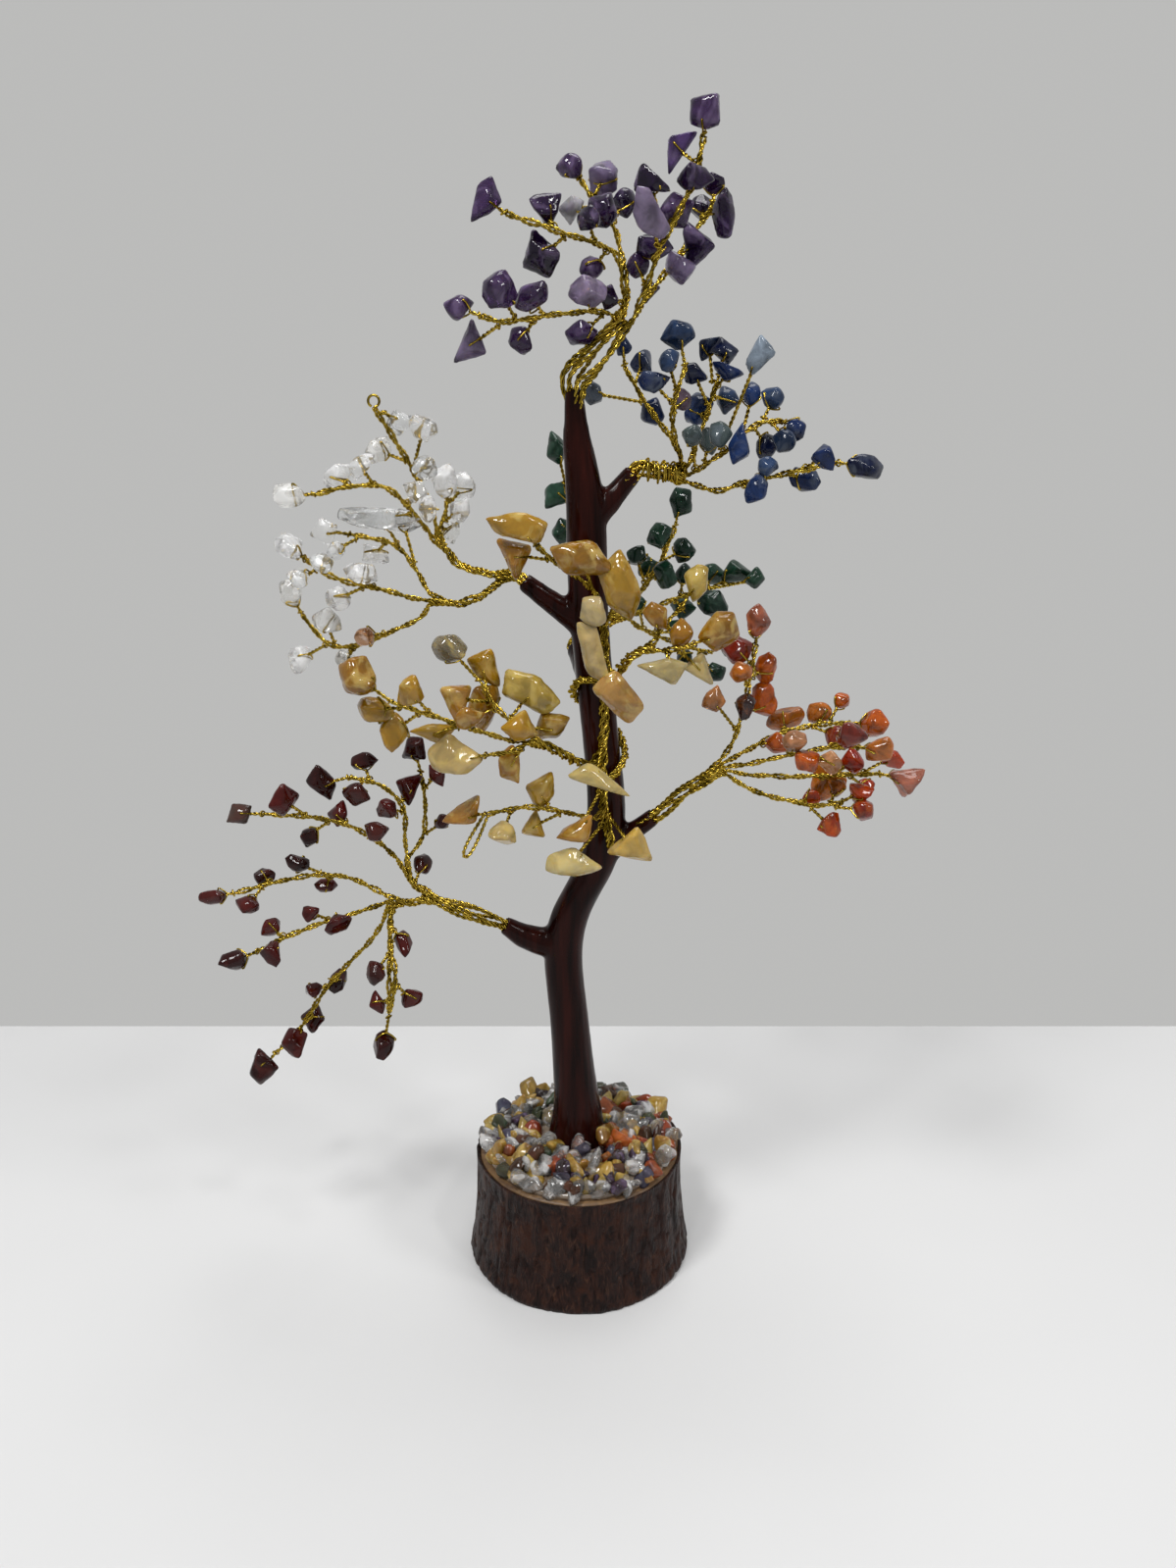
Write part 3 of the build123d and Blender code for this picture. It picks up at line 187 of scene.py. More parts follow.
class Shader:
    """A material's node tree, written one node at a time."""

    def __init__(self, name: str) -> None:
        """Starts an empty material.

        Args:
            name: The material's name.
        """
        self.material = bpy.data.materials.new(name)
        self.material.use_nodes = True
        self.tree = self.material.node_tree
        self.tree.nodes.clear()
        self.place = self.add("ShaderNodeTexCoord").outputs["Object"]

    def add(self, kind: str, **inputs: object) -> bpy.types.Node:
        """Adds a node to the material."""
        return add_node(self.tree, kind, **inputs)

    def stretched(self, x: float, y: float, z: float) -> bpy.types.NodeSocket:
        """The place, scaled on each axis, for grain that runs one way."""
        return self.add("ShaderNodeMapping", Vector=self.place, Scale=(x, y, z)).outputs[0]

    def clouds(self, size_mm: float, detail: float = 3.0, at: bpy.types.NodeSocket | None = None,
               twist: float = 0.0) -> bpy.types.NodeSocket:
        """Noise with lumps of a size.

        Args:
            size_mm: The lumps' size in millimetres.
            detail: Layers of finer noise.
            at: Where it is read, the plain place if None.
            twist: How far the noise is pulled about.

        Returns:
            The noise's value socket.
        """
        where = at or self.place
        return self.add("ShaderNodeTexNoise", Vector=where, Scale=1000 / size_mm, Detail=detail,
                        Distortion=twist).outputs[0]

    def ramp(self, value: bpy.types.NodeSocket, *stops: tuple[float, Colour]) -> bpy.types.NodeSocket:
        """Turns a value into a colour between stops.

        Args:
            value: The value's socket.
            stops: Pairs of a place from 0 to 1 and a colour.

        Returns:
            The colour's socket.
        """
        node = self.add("ShaderNodeValToRGB", Fac=value)
        marks = node.color_ramp.elements
        while len(marks) < len(stops):
            marks.new(0.5)
        for mark, (place, colour) in zip(marks, stops):
            mark.position = place
            mark.color = (*colour, 1.0)
        return node.outputs[0]

    def level(self, value: bpy.types.NodeSocket, low: float, high: float, to_low: float,
              to_high: float) -> bpy.types.NodeSocket:
        """Maps a value from one range to another, clamped.

        Args:
            value: The value's socket.
            low: Where its range starts.
            high: Where its range ends.
            to_low: What the start becomes.
            to_high: What the end becomes.

        Returns:
            The new value's socket.
        """
        node = self.add("ShaderNodeMapRange", Value=value)
        for index, number in enumerate((low, high, to_low, to_high), start=1):
            node.inputs[index].default_value = number
        return node.outputs[0]

    def mix(self, share: object, first: object, second: object, blend: str = "MIX") -> bpy.types.NodeSocket:
        """Mixes two colours.

        Args:
            share: How much of the second shows, a number or a socket.
            first: A colour or a socket.
            second: A colour or a socket.
            blend: Blender's name for the way of mixing.

        Returns:
            The mixed colour's socket.
        """
        node = self.add("ShaderNodeMix")
        node.data_type = "RGBA"
        node.blend_type = blend
        for index, value in ((0, share), (6, first), (7, second)):
            if isinstance(value, bpy.types.NodeSocket):
                self.tree.links.new(value, node.inputs[index])
            else:
                node.inputs[index].default_value = (*value, 1.0) if index else value
        return node.outputs[2]

    def bump(self, height: bpy.types.NodeSocket, depth_mm: float,
             strength: float = 1.0) -> bpy.types.NodeSocket:
        """A surface's small unevenness, as deep as given at the most."""
        return self.add("ShaderNodeBump", Height=height, Distance=depth_mm * MM, Strength=strength).outputs[0]

    def surface(self, **inputs: object) -> bpy.types.Material:
        """Ends the material with a principled surface.

        Args:
            inputs: The surface's values or sockets by name.

        Returns:
            The finished material.
        """
        shader = self.add("ShaderNodeBsdfPrincipled", **inputs)
        self.add("ShaderNodeOutputMaterial", Surface=shader.outputs[0])
        return self.material


@dataclass(frozen=True)
class StoneFinish:
    """Polished stone, tinted chip by chip, with mottling, veins and some clearness.

    Attributes:
        gem: The kind of stone.
        slot: The record's material slot.
        tints: The colours that chips of this kind come in.
        vein: The colour of its paler parts.
        veining: How much of the colour they take where they are strongest, from 0 to 1.
        mottle: How far the tint darkens in its clouds.
        clear: How much light goes straight through.
        glow: How much light spreads inside.
        roughness: The polish.
        tumbled: How many times the edges are worn down.
        grow: How much fuller a chip is than its solid.
        thin: How thick it is beside that.
        frost: How much less clear its flaws are, from 0 to 1.
        outlines: How many corners the chips' outlines have.
        shine: How strongly it mirrors, 0.5 for plain glass.
    """

    gem: Gem
    slot: str
    tints: tuple[Colour, ...]
    vein: Colour
    veining: float
    mottle: float
    clear: float
    glow: float
    roughness: float
    tumbled: int
    grow: float
    thin: float = 1.0
    frost: float = 0.5
    outlines: tuple[int, ...] = (3, 4, 4, 5, 5)
    shine: float = 0.24

    def material(self) -> bpy.types.Material:
        """Writes the material.

        Returns:
            The finished material.
        """
        shader = Shader(f"{self.gem.value}_polish")
        tint = shader.add("ShaderNodeAttribute")
        tint.attribute_name = "tint"
        colour = tint.outputs["Color"]
        shade = (1 - self.mottle,) * 3
        dark = shader.ramp(shader.clouds(4.0, 4.0, twist=0.8), (0.36, shade), (0.6, (1.0, 1.0, 1.0)))
        colour = shader.mix(1.0, colour, dark, "MULTIPLY")
        flaws = shader.clouds(4.5, 4.0, twist=1.2)
        veins = shader.level(flaws, 0.5, 0.66, 0.0, self.veining)
        colour = shader.mix(veins, colour, self.vein)
        through = shader.level(flaws, 0.46, 0.64, self.clear, self.clear * (1 - self.frost))
        dimples = shader.clouds(2.0, 3.0)
        gloss = shader.level(dimples, 0.3, 0.7, self.roughness * 0.7, self.roughness * 1.5)
        return shader.surface(
            Base_Color=colour, Roughness=gloss, IOR=1.48, Specular_IOR_Level=self.shine,
            Transmission_Weight=through,
            Subsurface_Weight=self.glow, Subsurface_Scale=0.0012, Subsurface_Radius=(1.0, 0.6, 0.3),
            Normal=shader.bump(dimples, 0.16, 0.6),
        )


@dataclass(frozen=True)
class WireFinish:
    """Bright drawn brass wire with a little tarnish.

    Attributes:
        bright: Its clean colour.
        tarnish: Its colour where it has dulled.
        edge: Its colour seen aslant.
        roughness: Its polish.
    """

    bright: Colour = (0.45, 0.32, 0.045)
    tarnish: Colour = (0.11, 0.073, 0.006)
    edge: Colour = (0.85, 0.62, 0.2)
    roughness: float = 0.14

    def material(self) -> bpy.types.Material:
        """Writes the material.

        Returns:
            The finished material.
        """
        shader = Shader("brass_wire_bright")
        worn = shader.clouds(3.0, 3.0)
        colour = shader.ramp(worn, (0.34, self.tarnish), (0.6, self.bright))
        gloss = shader.level(worn, 0.3, 0.7, self.roughness + 0.12, self.roughness)
        return shader.surface(Base_Color=colour, Metallic=1.0, Roughness=gloss,
                              Specular_Tint=(*self.edge, 1.0))


@dataclass(frozen=True)
class LacquerFinish:
    """Thick glossy lacquer over the trunk, with brushed streaks under it.

    Attributes:
        dark: The colour in the streaks.
        warm: The colour between them.
    """

    dark: Colour = (0.005, 0.001, 0.0006)
    warm: Colour = (0.026, 0.0042, 0.0026)

    def material(self) -> bpy.types.Material:
        """Writes the material.

        Returns:
            The finished material.
        """
        shader = Shader("trunk_gloss_lacquer")
        streaks = shader.clouds(2.2, 4.0, at=shader.stretched(1.0, 1.0, 0.09))
        lumps = shader.clouds(5.0, 3.0, at=shader.stretched(1.0, 1.0, 0.35))
        colour = shader.ramp(streaks, (0.35, self.dark), (0.7, self.warm))
        gloss = shader.level(lumps, 0.3, 0.7, 0.1, 0.2)
        return shader.surface(Base_Color=colour, Roughness=gloss, Specular_IOR_Level=0.1,
                              Normal=shader.bump(lumps, 0.35, 0.6))


@dataclass(frozen=True)
class BarkFinish:
    """Dry bark in dark upright strands, rubbed paler on its ridges.

    Attributes:
        deep: The colour in the cracks.
        body: The main colour.
        rubbed: The colour of rubbed ridges.
        ruddy: The colour of its redder patches.
    """

    deep: Colour = (0.005, 0.0023, 0.0019)
    body: Colour = (0.021, 0.0089, 0.007)
    rubbed: Colour = (0.09, 0.042, 0.023)
    ruddy: Colour = (0.04, 0.0138, 0.0075)

    def material(self) -> bpy.types.Material:
        """Writes the material.

        Returns:
            The finished material.
        """
        shader = Shader("bark_dry")
        strands = shader.clouds(1.1, 7.0, at=shader.stretched(1.0, 1.0, 0.26), twist=1.6)
        patches = shader.clouds(4.0, 6.0, at=shader.stretched(1.0, 1.0, 0.6), twist=1.0)
        colour = shader.ramp(strands, (0.3, self.deep), (0.56, self.body), (0.84, self.rubbed))
        colour = shader.mix(shader.level(patches, 0.5, 0.66, 0.0, 0.7), colour, self.ruddy)
        colour = shader.mix(shader.level(patches, 0.34, 0.46, 0.75, 0.0), colour, self.deep)
        gloss = shader.level(patches, 0.3, 0.7, 0.28, 0.5)
        return shader.surface(Base_Color=colour, Roughness=gloss, Specular_IOR_Level=0.12,
                              Normal=shader.bump(strands, 0.6, 0.9))


@dataclass(frozen=True)
class CutWoodFinish:
    """The sawn and rubbed edge of the log.

    Attributes:
        pale: The colour between the rings.
        brown: The colour of the rings.
    """

    pale: Colour = (0.17, 0.092, 0.031)
    brown: Colour = (0.06, 0.027, 0.01)

    def material(self) -> bpy.types.Material:
        """Writes the material.

        Returns:
            The finished material.
        """
        shader = Shader("log_cut_edge")
        grain = shader.clouds(2.6, 5.0, twist=0.8)
        colour = shader.ramp(grain, (0.3, self.brown), (0.65, self.pale))
        return shader.surface(Base_Color=colour, Roughness=0.48, Normal=shader.bump(grain, 0.2, 0.7))


@dataclass(frozen=True)
class ResinFinish:
    """Poured resin full of stone dust: cloudy, glossy, tinted by what lies in it.

    Attributes:
        warm: The colour where the dust is thin.
        cool: The colour where it is thick.
    """

    warm: Colour = (0.11, 0.06, 0.025)
    cool: Colour = (0.2, 0.16, 0.12)

    def material(self) -> bpy.types.Material:
        """Writes the material.

        Returns:
            The finished material.
        """
        shader = Shader("resin_bed_cloudy")
        dust = shader.clouds(1.8, 5.0)
        colour = shader.ramp(dust, (0.35, self.warm), (0.65, self.cool))
        return shader.surface(Base_Color=colour, Roughness=0.12, Coat_Weight=1.0, Coat_Roughness=0.03,
                              Normal=shader.bump(dust, 0.4, 0.8))


STONES: dict[Gem, StoneFinish] = {finish.gem: finish for finish in (
    StoneFinish(
        Gem.AMETHYST, "amethyst_stone",
        ((0.019, 0.005, 0.038), (0.029, 0.009, 0.057), (0.012, 0.0035, 0.025), (0.046, 0.019, 0.077)),
        (0.2, 0.145, 0.26), 0.5, 0.6, 0.45, 0.1, 0.05, 3, 1.24),
    StoneFinish(
        Gem.LAPIS, "lapis_stone",
        ((0.007, 0.017, 0.066), (0.012, 0.03, 0.105), (0.005, 0.009, 0.037), (0.019, 0.038, 0.09)),
        (0.1, 0.12, 0.15), 0.4, 0.6, 0.0, 0.0, 0.08, 4, 1.24),
    StoneFinish(
        Gem.QUARTZ, "quartz_stone",
        ((0.98, 0.98, 0.98), (0.96, 0.97, 0.97), (0.98, 0.97, 0.94)),
        (0.97, 0.97, 0.97), 0.6, 0.04, 0.92, 0.0, 0.1, 3, 1.22, 0.9, 0.4, (4, 5, 5, 6), 0.4),
    StoneFinish(
        Gem.CARNELIAN, "carnelian_stone",
        ((0.42, 0.04, 0.001), (0.48, 0.085, 0.002), (0.3, 0.016, 0.001), (0.52, 0.155, 0.016)),
        (0.55, 0.17, 0.03), 0.25, 0.6, 0.4, 0.35, 0.05, 4, 1.3, shine=0.42),
    StoneFinish(
        Gem.GARNET, "garnet_stone",
        ((0.042, 0.0026, 0.0022), (0.062, 0.0045, 0.0036), (0.024, 0.0022, 0.002), (0.045, 0.0075, 0.0056)),
        (0.1, 0.02, 0.015), 0.3, 0.5, 0.15, 0.0, 0.06, 3, 1.2, 0.85, 0.5, (3, 4, 4, 5)),
    StoneFinish(
        Gem.AVENTURINE, "aventurine_stone",
        ((0.0075, 0.033, 0.018), (0.0115, 0.046, 0.026), (0.006, 0.021, 0.013)),
        (0.055, 0.11, 0.077), 0.35, 0.5, 0.05, 0.1, 0.08, 3, 1.24),
    StoneFinish(
        Gem.YELLOW, "yellow_stone",
        ((0.345, 0.185, 0.009), (0.395, 0.235, 0.02), (0.29, 0.13, 0.004), (0.435, 0.3, 0.05)),
        (0.53, 0.4, 0.12), 0.6, 0.36, 0.12, 0.6, 0.05, 5, 1.38, 0.85, 0.5, (4, 4, 5, 5, 3), 0.55),
)}

# Chips that stand out from their spray: place in the front view (across, up from the log's top) and colour
ODD_CHIPS: dict[str, tuple[tuple[int, int, Colour], ...]] = {
    "amethyst": (
        (-1, 208, (0.6, 0.59, 0.62)), (5, 213, (0.2, 0.15, 0.27)), (14, 206, (0.27, 0.21, 0.33)),
        (2, 193, (0.26, 0.2, 0.31)), (-21, 183, (0.15, 0.115, 0.2)), (9, 209, (0.022, 0.011, 0.045)),
        (15, 201, (0.028, 0.012, 0.055)), (23, 201, (0.028, 0.012, 0.055)), (19, 218, (0.11, 0.055, 0.21)),
        (20, 197, (0.2, 0.15, 0.27)),
    ),
    "lapis": (
        (3, 174, (0.07, 0.085, 0.11)), (21, 173, (0.1, 0.065, 0.09)), (36, 181, (0.22, 0.27, 0.33)),
        (26, 165, (0.055, 0.075, 0.075)),
    ),
    "quartz": ((-45, 125, (0.55, 0.26, 0.1)),),
    "yellow_left": (
        (-27, 122, (0.19, 0.155, 0.09)), (-26, 111, (0.36, 0.17, 0.02)), (-28, 98, (0.5, 0.36, 0.13)),
    ),
    "yellow_low": ((-25, 85, (0.33, 0.155, 0.018)), (-17, 80, (0.5, 0.37, 0.14))),
    "yellow_right": ((19, 118, (0.44, 0.35, 0.15)), (26, 118, (0.47, 0.37, 0.17))),
    "yellow_front": (
        (-12, 148, (0.35, 0.19, 0.012)), (1, 141, (0.27, 0.125, 0.006)), (9, 135, (0.34, 0.19, 0.012)),
        (3, 130, (0.46, 0.36, 0.18)), (3, 122, (0.5, 0.37, 0.16)), (9, 112, (0.42, 0.23, 0.06)),
        (4, 93, (0.54, 0.42, 0.16)), (0, 81, (0.36, 0.18, 0.02)), (-2, 73, (0.62, 0.5, 0.22)),
        (12, 77, (0.52, 0.34, 0.07)),
    ),
    "carnelian": (
        (34, 122, (0.27, 0.02, 0.007)), (36, 110, (0.045, 0.011, 0.007)), (59, 103, (0.2, 0.02, 0.009)),
        (29, 111, (0.5, 0.21, 0.07)), (47, 102, (0.52, 0.24, 0.11)), (55, 97, (0.54, 0.27, 0.12)),
        (72, 93, (0.46, 0.16, 0.1)), (38, 126, (0.42, 0.12, 0.06)),
    ),
    "garnet": ((-75, 85, (0.065, 0.038, 0.03)),),
}

# Chips whose shape shows clearly: place in the front view, length, width, and tilt of the length in degrees
SHAPED_CHIPS: dict[str, tuple[tuple[int, int, float, float, float], ...]] = {
    "yellow_front": (
        (-12, 148, 12.2, 5.6, -7), (1, 141, 13.4, 7.8, -18), (9, 135, 14.0, 7.2, -70),
        (3, 130, 6.4, 5.4, 80), (3, 122, 14.0, 4.8, -72), (9, 112, 11.6, 8.2, -65),
        (4, 93, 13.6, 5.0, -32), (12, 77, 9.8, 8.0, -20), (-2, 73, 12.0, 6.6, -8),
        (0, 81, 8.6, 5.4, 10),
    ),
    "yellow_right": (
        (16, 129, 6.0, 4.6, -30), (19, 118, 9.6, 5.0, -14), (26, 118, 7.2, 4.8, -30),
        (25, 137, 7.6, 5.0, 80), (30, 126, 8.4, 7.0, 50),
    ),
    "yellow_left": (
        (-10, 113, 13.0, 7.6, -36), (-28, 98, 10.4, 8.0, -30), (-31, 104, 9.0, 4.6, -14),
        (-6, 105, 8.6, 6.4, 20), (-20, 118, 8.2, 5.6, -66), (-15, 96, 8.2, 5.2, -72),
    ),
    "yellow_low": ((-25, 85, 9.0, 6.0, 58), (-8, 90, 8.8, 6.2, 52)),
    "quartz": ((-40, 151, 17.0, 4.4, -6),),
    "amethyst": (
        (-16, 209, 8.6, 5.2, 78), (19, 218, 8.6, 4.6, 68), (-21, 183, 8.8, 5.6, 58), (14, 193, 4.4, 3.6, 40),
    ),
    "lapis": ((9, 183, 4.8, 4.0, 80),),
    "carnelian": ((29, 111, 5.6, 4.8, 70),),
}

# How close to its place such a chip shows, in millimetres
ODD_REACH = 3.2


class MeshParts:
    """Collects points and faces of many small pieces for one mesh."""

    def __init__(self) -> None:
        """Starts empty."""
        self.points: list[np.ndarray] = []
        self.faces: list[list[int]] = []
        self.tints: list[np.ndarray] = []
        self.count = 0

    def add(self, points: np.ndarray, faces: list[list[int]], tint: Colour | None = None) -> None:
        """Adds a piece.

        Args:
            points: Its points in millimetres.
            faces: Its faces as lists of point numbers.
            tint: Its colour, where the finish goes by it.
        """
        self.faces += [[i + self.count for i in face] for face in faces]
        self.points.append(points)
        if tint is not None:
            self.tints.append(np.tile(np.array([*tint, 1.0]), (len(points), 1)))
        self.count += len(points)

    def piece(self, name: str, material: bpy.types.Material, slot: str) -> bpy.types.Object:
        """Makes the Blender object.

        Args:
            name: The piece's name.
            material: Its finish.
            slot: The record's material slot; not used.

        Returns:
            The object, in metres in the frame.
        """
        mesh = bpy.data.meshes.new(name)
        mesh.from_pydata((np.vstack(self.points) * MM).tolist(), [], self.faces)
        mesh.polygons.foreach_set("use_smooth", [True] * len(mesh.polygons))
        if self.tints:
            layer = mesh.color_attributes.new("tint", "FLOAT_COLOR", "POINT")
            layer.data.foreach_set("color", np.vstack(self.tints).astype(np.float32).ravel())
        mesh.materials.append(material)
        made = bpy.data.objects.new(name, mesh)
        bpy.context.scene.collection.objects.link(made)
        LOG.info("%s: %d points, %d faces", name, len(mesh.vertices), len(mesh.polygons))
        return made


class FrameSolids:
    """The separate solids of one node of the frame, in millimetres."""

    def __init__(self, node: str) -> None:
        """Reads the node's mesh.

        Args:
            node: The node's name.
        """
        mesh = frame["nodes"][node].data
        self.points = read(mesh.vertices, "co").astype(float) / MM
        self.normals = np.zeros((len(mesh.vertices), 3))
        corners = read(mesh.loops, "vertex_index", 1, np.int32)[:, 0]
        self.normals[corners] = read(mesh.corner_normals, "vector")
        self.groups = self.grouped(read(mesh.edges, "vertices", 2, np.int32))

    def grouped(self, edges: np.ndarray) -> list[np.ndarray]:
        """Sorts the points by the solid that they belong to.

        Args:
            edges: The mesh's edges as pairs of points.

        Returns:
            Point numbers, one list for each solid.
        """
        _, same = np.unique(np.round(self.points, 4), axis=0, return_inverse=True)
        same = same.ravel()
        first, second = same[edges[:, 0]], same[edges[:, 1]]
        labels = np.arange(same.max() + 1)
        while True:
            least = np.minimum(labels[first], labels[second])
            merged = labels.copy()
            np.minimum.at(merged, first, least)
            np.minimum.at(merged, second, least)
            merged = merged[merged]
            if np.array_equal(merged, labels):
                break
            labels = merged
        whose = labels[same]
        return [np.nonzero(whose == label)[0] for label in np.unique(whose)]

    def corners(self) -> list[np.ndarray]:
        """The corner points of each solid."""
        return [np.unique(np.round(self.points[group], 3), axis=0) for group in self.groups]

    def centre_lines(self, root: np.ndarray) -> list[tuple[Line, float]]:
        """The middle lines of round wires, each from its end nearest to a root.

        Args:
            root: The point that the wires grow from, in millimetres.

        Returns:
            Each wire's line and its diameter in the frame.
        """
        return [self.centre_line(group, root) for group in self.groups]

    def centre_line(self, group: np.ndarray, root: np.ndarray) -> tuple[Line, float]:
        """The middle line of one round wire: its skin points moved in by its radius.

        Args:
            group: The wire's point numbers.
            root: The point that it grows from.

        Returns:
            The line, from the end nearest to the root, and the wire's diameter.
        """
        best: tuple[int, float, Line] | None = None
        for dia in ROPES:
            inside = self.points[group] - self.normals[group] * dia / 2
            _, whose, counts = np.unique(np.round(inside, 1), axis=0, return_inverse=True, return_counts=True)
            full = np.nonzero(counts >= FULL_RING)[0]
            held = int(counts[full].sum())
            if best is None or held > best[0]:
                best = (held, dia, np.array([inside[whose.ravel() == i].mean(0) for i in full]))
        _, dia, middles = best
        left = list(middles)
        far = [np.linalg.norm(p - root) for p in left]
        spread = np.linalg.norm(middles[:, None] - middles[None], axis=2)
        ends = np.unravel_index(int(spread.argmax()), spread.shape)
        line = [left.pop(min(ends, key=lambda i: far[i]))]
        while left:
            nearest = min(range(len(left)), key=lambda i: float(np.linalg.norm(left[i] - line[-1])))
            line.append(left.pop(nearest))
        return np.array(line), dia


def evenly(line: Line, step: float) -> Line:
    """Points at even steps along a line.

    Args:
        line: The line's points.
        step: The wanted step in millimetres.

    Returns:
        The new points, ends included.
    """
    walked = np.concatenate([[0.0], np.cumsum(np.linalg.norm(np.diff(line, axis=0), axis=1))])
    spots = np.linspace(0, walked[-1], max(int(walked[-1] / step), 3) + 1)
    return np.stack([np.interp(spots, walked, line[:, i]) for i in range(3)], axis=1)


def eased(line: Line, reach: int) -> Line:
    """A line with its turns made gentler and its ends kept.

    Args:
        line: Evenly spaced points.
        reach: How many neighbours on each side are averaged.

    Returns:
        The eased points.
    """
    reach = min(reach, (len(line) - 1) // 2)
    before = 2 * line[0] - line[1:reach + 1][::-1]
    after = 2 * line[-1] - line[-reach - 1:-1][::-1]
    whole = np.vstack([before, line, after]) if reach else line
    weights = np.hanning(2 * reach + 3)[1:-1]
    weights = weights / weights.sum()
    return np.stack([np.convolve(whole[:, i], weights, mode="valid") for i in range(3)], axis=1)


def travelling_sides(line: Line) -> tuple[np.ndarray, np.ndarray, np.ndarray]:
    """Directions along a line, and two sides that turn with it without twisting.

    Args:
        line: The line's points.

    Returns:
        The directions along, the first sides and the second sides.
    """
    along = np.gradient(line, axis=0)
    along = along / np.linalg.norm(along, axis=1)[:, None]
    helper = np.array([0.0, 0.0, 1.0]) if abs(along[0][2]) < 0.9 else np.array([1.0, 0.0, 0.0])
    side = unit(np.cross(along[0], helper))
    firsts = []
    for way in along:
        side = unit(side - way * (side @ way))
        firsts.append(side)
    first = np.array(firsts)
    return along, first, np.cross(along, first)


def tube(line: Line, side: np.ndarray, dia: float, sides: int = 6,
         closed: bool = False) -> tuple[np.ndarray, list[list[int]]]:
    """A round strand along a line.

    Args:
        line: The strand's middle line.
        side: A direction beside it at each point.
        dia: The strand's diameter.
        sides: How many flats its round has.
        closed: Whether it runs back into its start.

    Returns:
        Points and faces.
    """
    around = np.roll(line, -1, axis=0) - np.roll(line, 1, axis=0)
    along = around if closed else np.gradient(line, axis=0)
    along = along / np.maximum(np.linalg.norm(along, axis=1), 1e-9)[:, None]
    first = side - along * (side * along).sum(1)[:, None]
    first = first / np.maximum(np.linalg.norm(first, axis=1), 1e-9)[:, None]
    second = np.cross(along, first)
    angles = np.arange(sides) * 2 * pi / sides
    ring = first[:, None] * np.cos(angles)[None, :, None] + second[:, None] * np.sin(angles)[None, :, None]
    points = (line[:, None] + ring * dia / 2).reshape(-1, 3)
    count = len(line)
    faces = []
    for i in range(count if closed else count - 1):
        low, high = i * sides, (i + 1) % count * sides
        for k in range(sides):
            j = (k + 1) % sides
            faces.append([low + k, low + j, high + j, high + k])
    if not closed:
        faces.append(list(range(sides))[::-1])
        faces.append(list(range((count - 1) * sides, count * sides)))
    return points, faces


def swung(first: np.ndarray, second: np.ndarray, turn: np.ndarray) -> np.ndarray:
    """The direction at an angle from a first side towards a second, at each point of a line."""
    return first * np.cos(turn)[:, None] + second * np.sin(turn)[:, None]


def wire_ring(parts: MeshParts, at: np.ndarray, axis: np.ndarray, aside: tuple[float, float, float],
              radius: float, count: int, strand: float) -> None:
    """Adds a closed ring of wire.

    Args:
        parts: The mesh that takes it.
        at: Its middle.
        axis: The direction that it lies square to.
        aside: A direction that isn't the axis, to start from.
        radius: Its radius.
        count: How many points it has.
        strand: The wire's diameter.
    """
    side = unit(np.cross(axis, aside))
    turn = np.linspace(0, 2 * pi, count, endpoint=False)[:, None]
    ring = (side * np.cos(turn) + np.cross(axis, side) * np.sin(turn)) * radius
    parts.add(*tube(at + ring, np.tile(axis, (count, 1)), strand, closed=True))


@dataclass(frozen=True)
class Rope:
    """Wire strands twisted in pairs, and the pairs laid round each other.

    Attributes:
        pairs: How many pairs lie in it.
        ring: How far the pairs lie from its middle, in millimetres.
        strand: A strand's diameter.
        pair_pitch: The length of one turn of a pair.
        lay_pitch: The length of one turn of the pairs round each other.
        loose: How far a pair strays, as a share of the ring.
        belly: How far the pairs spread halfway along, as a share of the ring.
        turn_steps: How many points a pair has in one turn.
        ease: How many of them on each side round off a bend.
    """

    pairs: int
    ring: float
    strand: float = 0.44
    pair_pitch: float = 2.5
    lay_pitch: float = 13.0
    loose: float = 0.3
    belly: float = 0.0
    turn_steps: int = 6
    ease: int = 4

    def lay(self, parts: MeshParts, line: Line, seed: int) -> None:
        """Lays the rope's strands along a line.

        Args:
            parts: The mesh that takes them.
            line: The rope's middle line.
            seed: Makes this rope's straying its own.
        """
        draw = Random(seed)
        line = eased(evenly(line, self.pair_pitch / self.turn_steps), self.ease)
        _, first, second = travelling_sides(line)
        walked = np.arange(len(line)) * self.pair_pitch / self.turn_steps
        swell = 1 + self.belly * np.sin(np.linspace(0, pi, len(line)))
        for pair in range(self.pairs):
            turn = 2 * pi * (pair / self.pairs + walked / self.lay_pitch) + draw.uniform(-0.3, 0.3)
            wander = np.sin(walked * draw.uniform(0.25, 0.5) + draw.uniform(0, 6))
            stray = swell * draw.uniform(0.8, 1.15) + self.loose * wander
            middle = line + swung(first, second, turn) * (self.ring * stray)[:, None]
            start = draw.uniform(0, 2 * pi)
            for half in (0, pi):
                angle = start + half + 2 * pi * walked / self.pair_pitch
                side = swung(first, second, angle)
                parts.add(*tube(middle + side * self.strand / 2, first, self.strand))


BUNDLE_ROPE = Rope(6, 0.92, strand=0.48, pair_pitch=3.0, lay_pitch=55.0, belly=0.45)
SPLAYED_ROPE = Rope(8, 1.0, strand=0.54, pair_pitch=3.4, lay_pitch=130.0, belly=1.5)
SPINE_ROPE = Rope(3, 0.62, strand=0.52, pair_pitch=3.2, lay_pitch=9.0, belly=0.15)
BRANCH_ROPE = Rope(3, 0.5, strand=0.47, lay_pitch=12.0, belly=0.15)
TWIG_ROPE = Rope(2, 0.32, strand=0.4, lay_pitch=9.0)
BINDING_ROPE = Rope(3, 0.52, strand=0.48, lay_pitch=7.0, loose=0.2)
STEM_ROPE = Rope(1, 0.0, strand=0.42, pair_pitch=2.2)

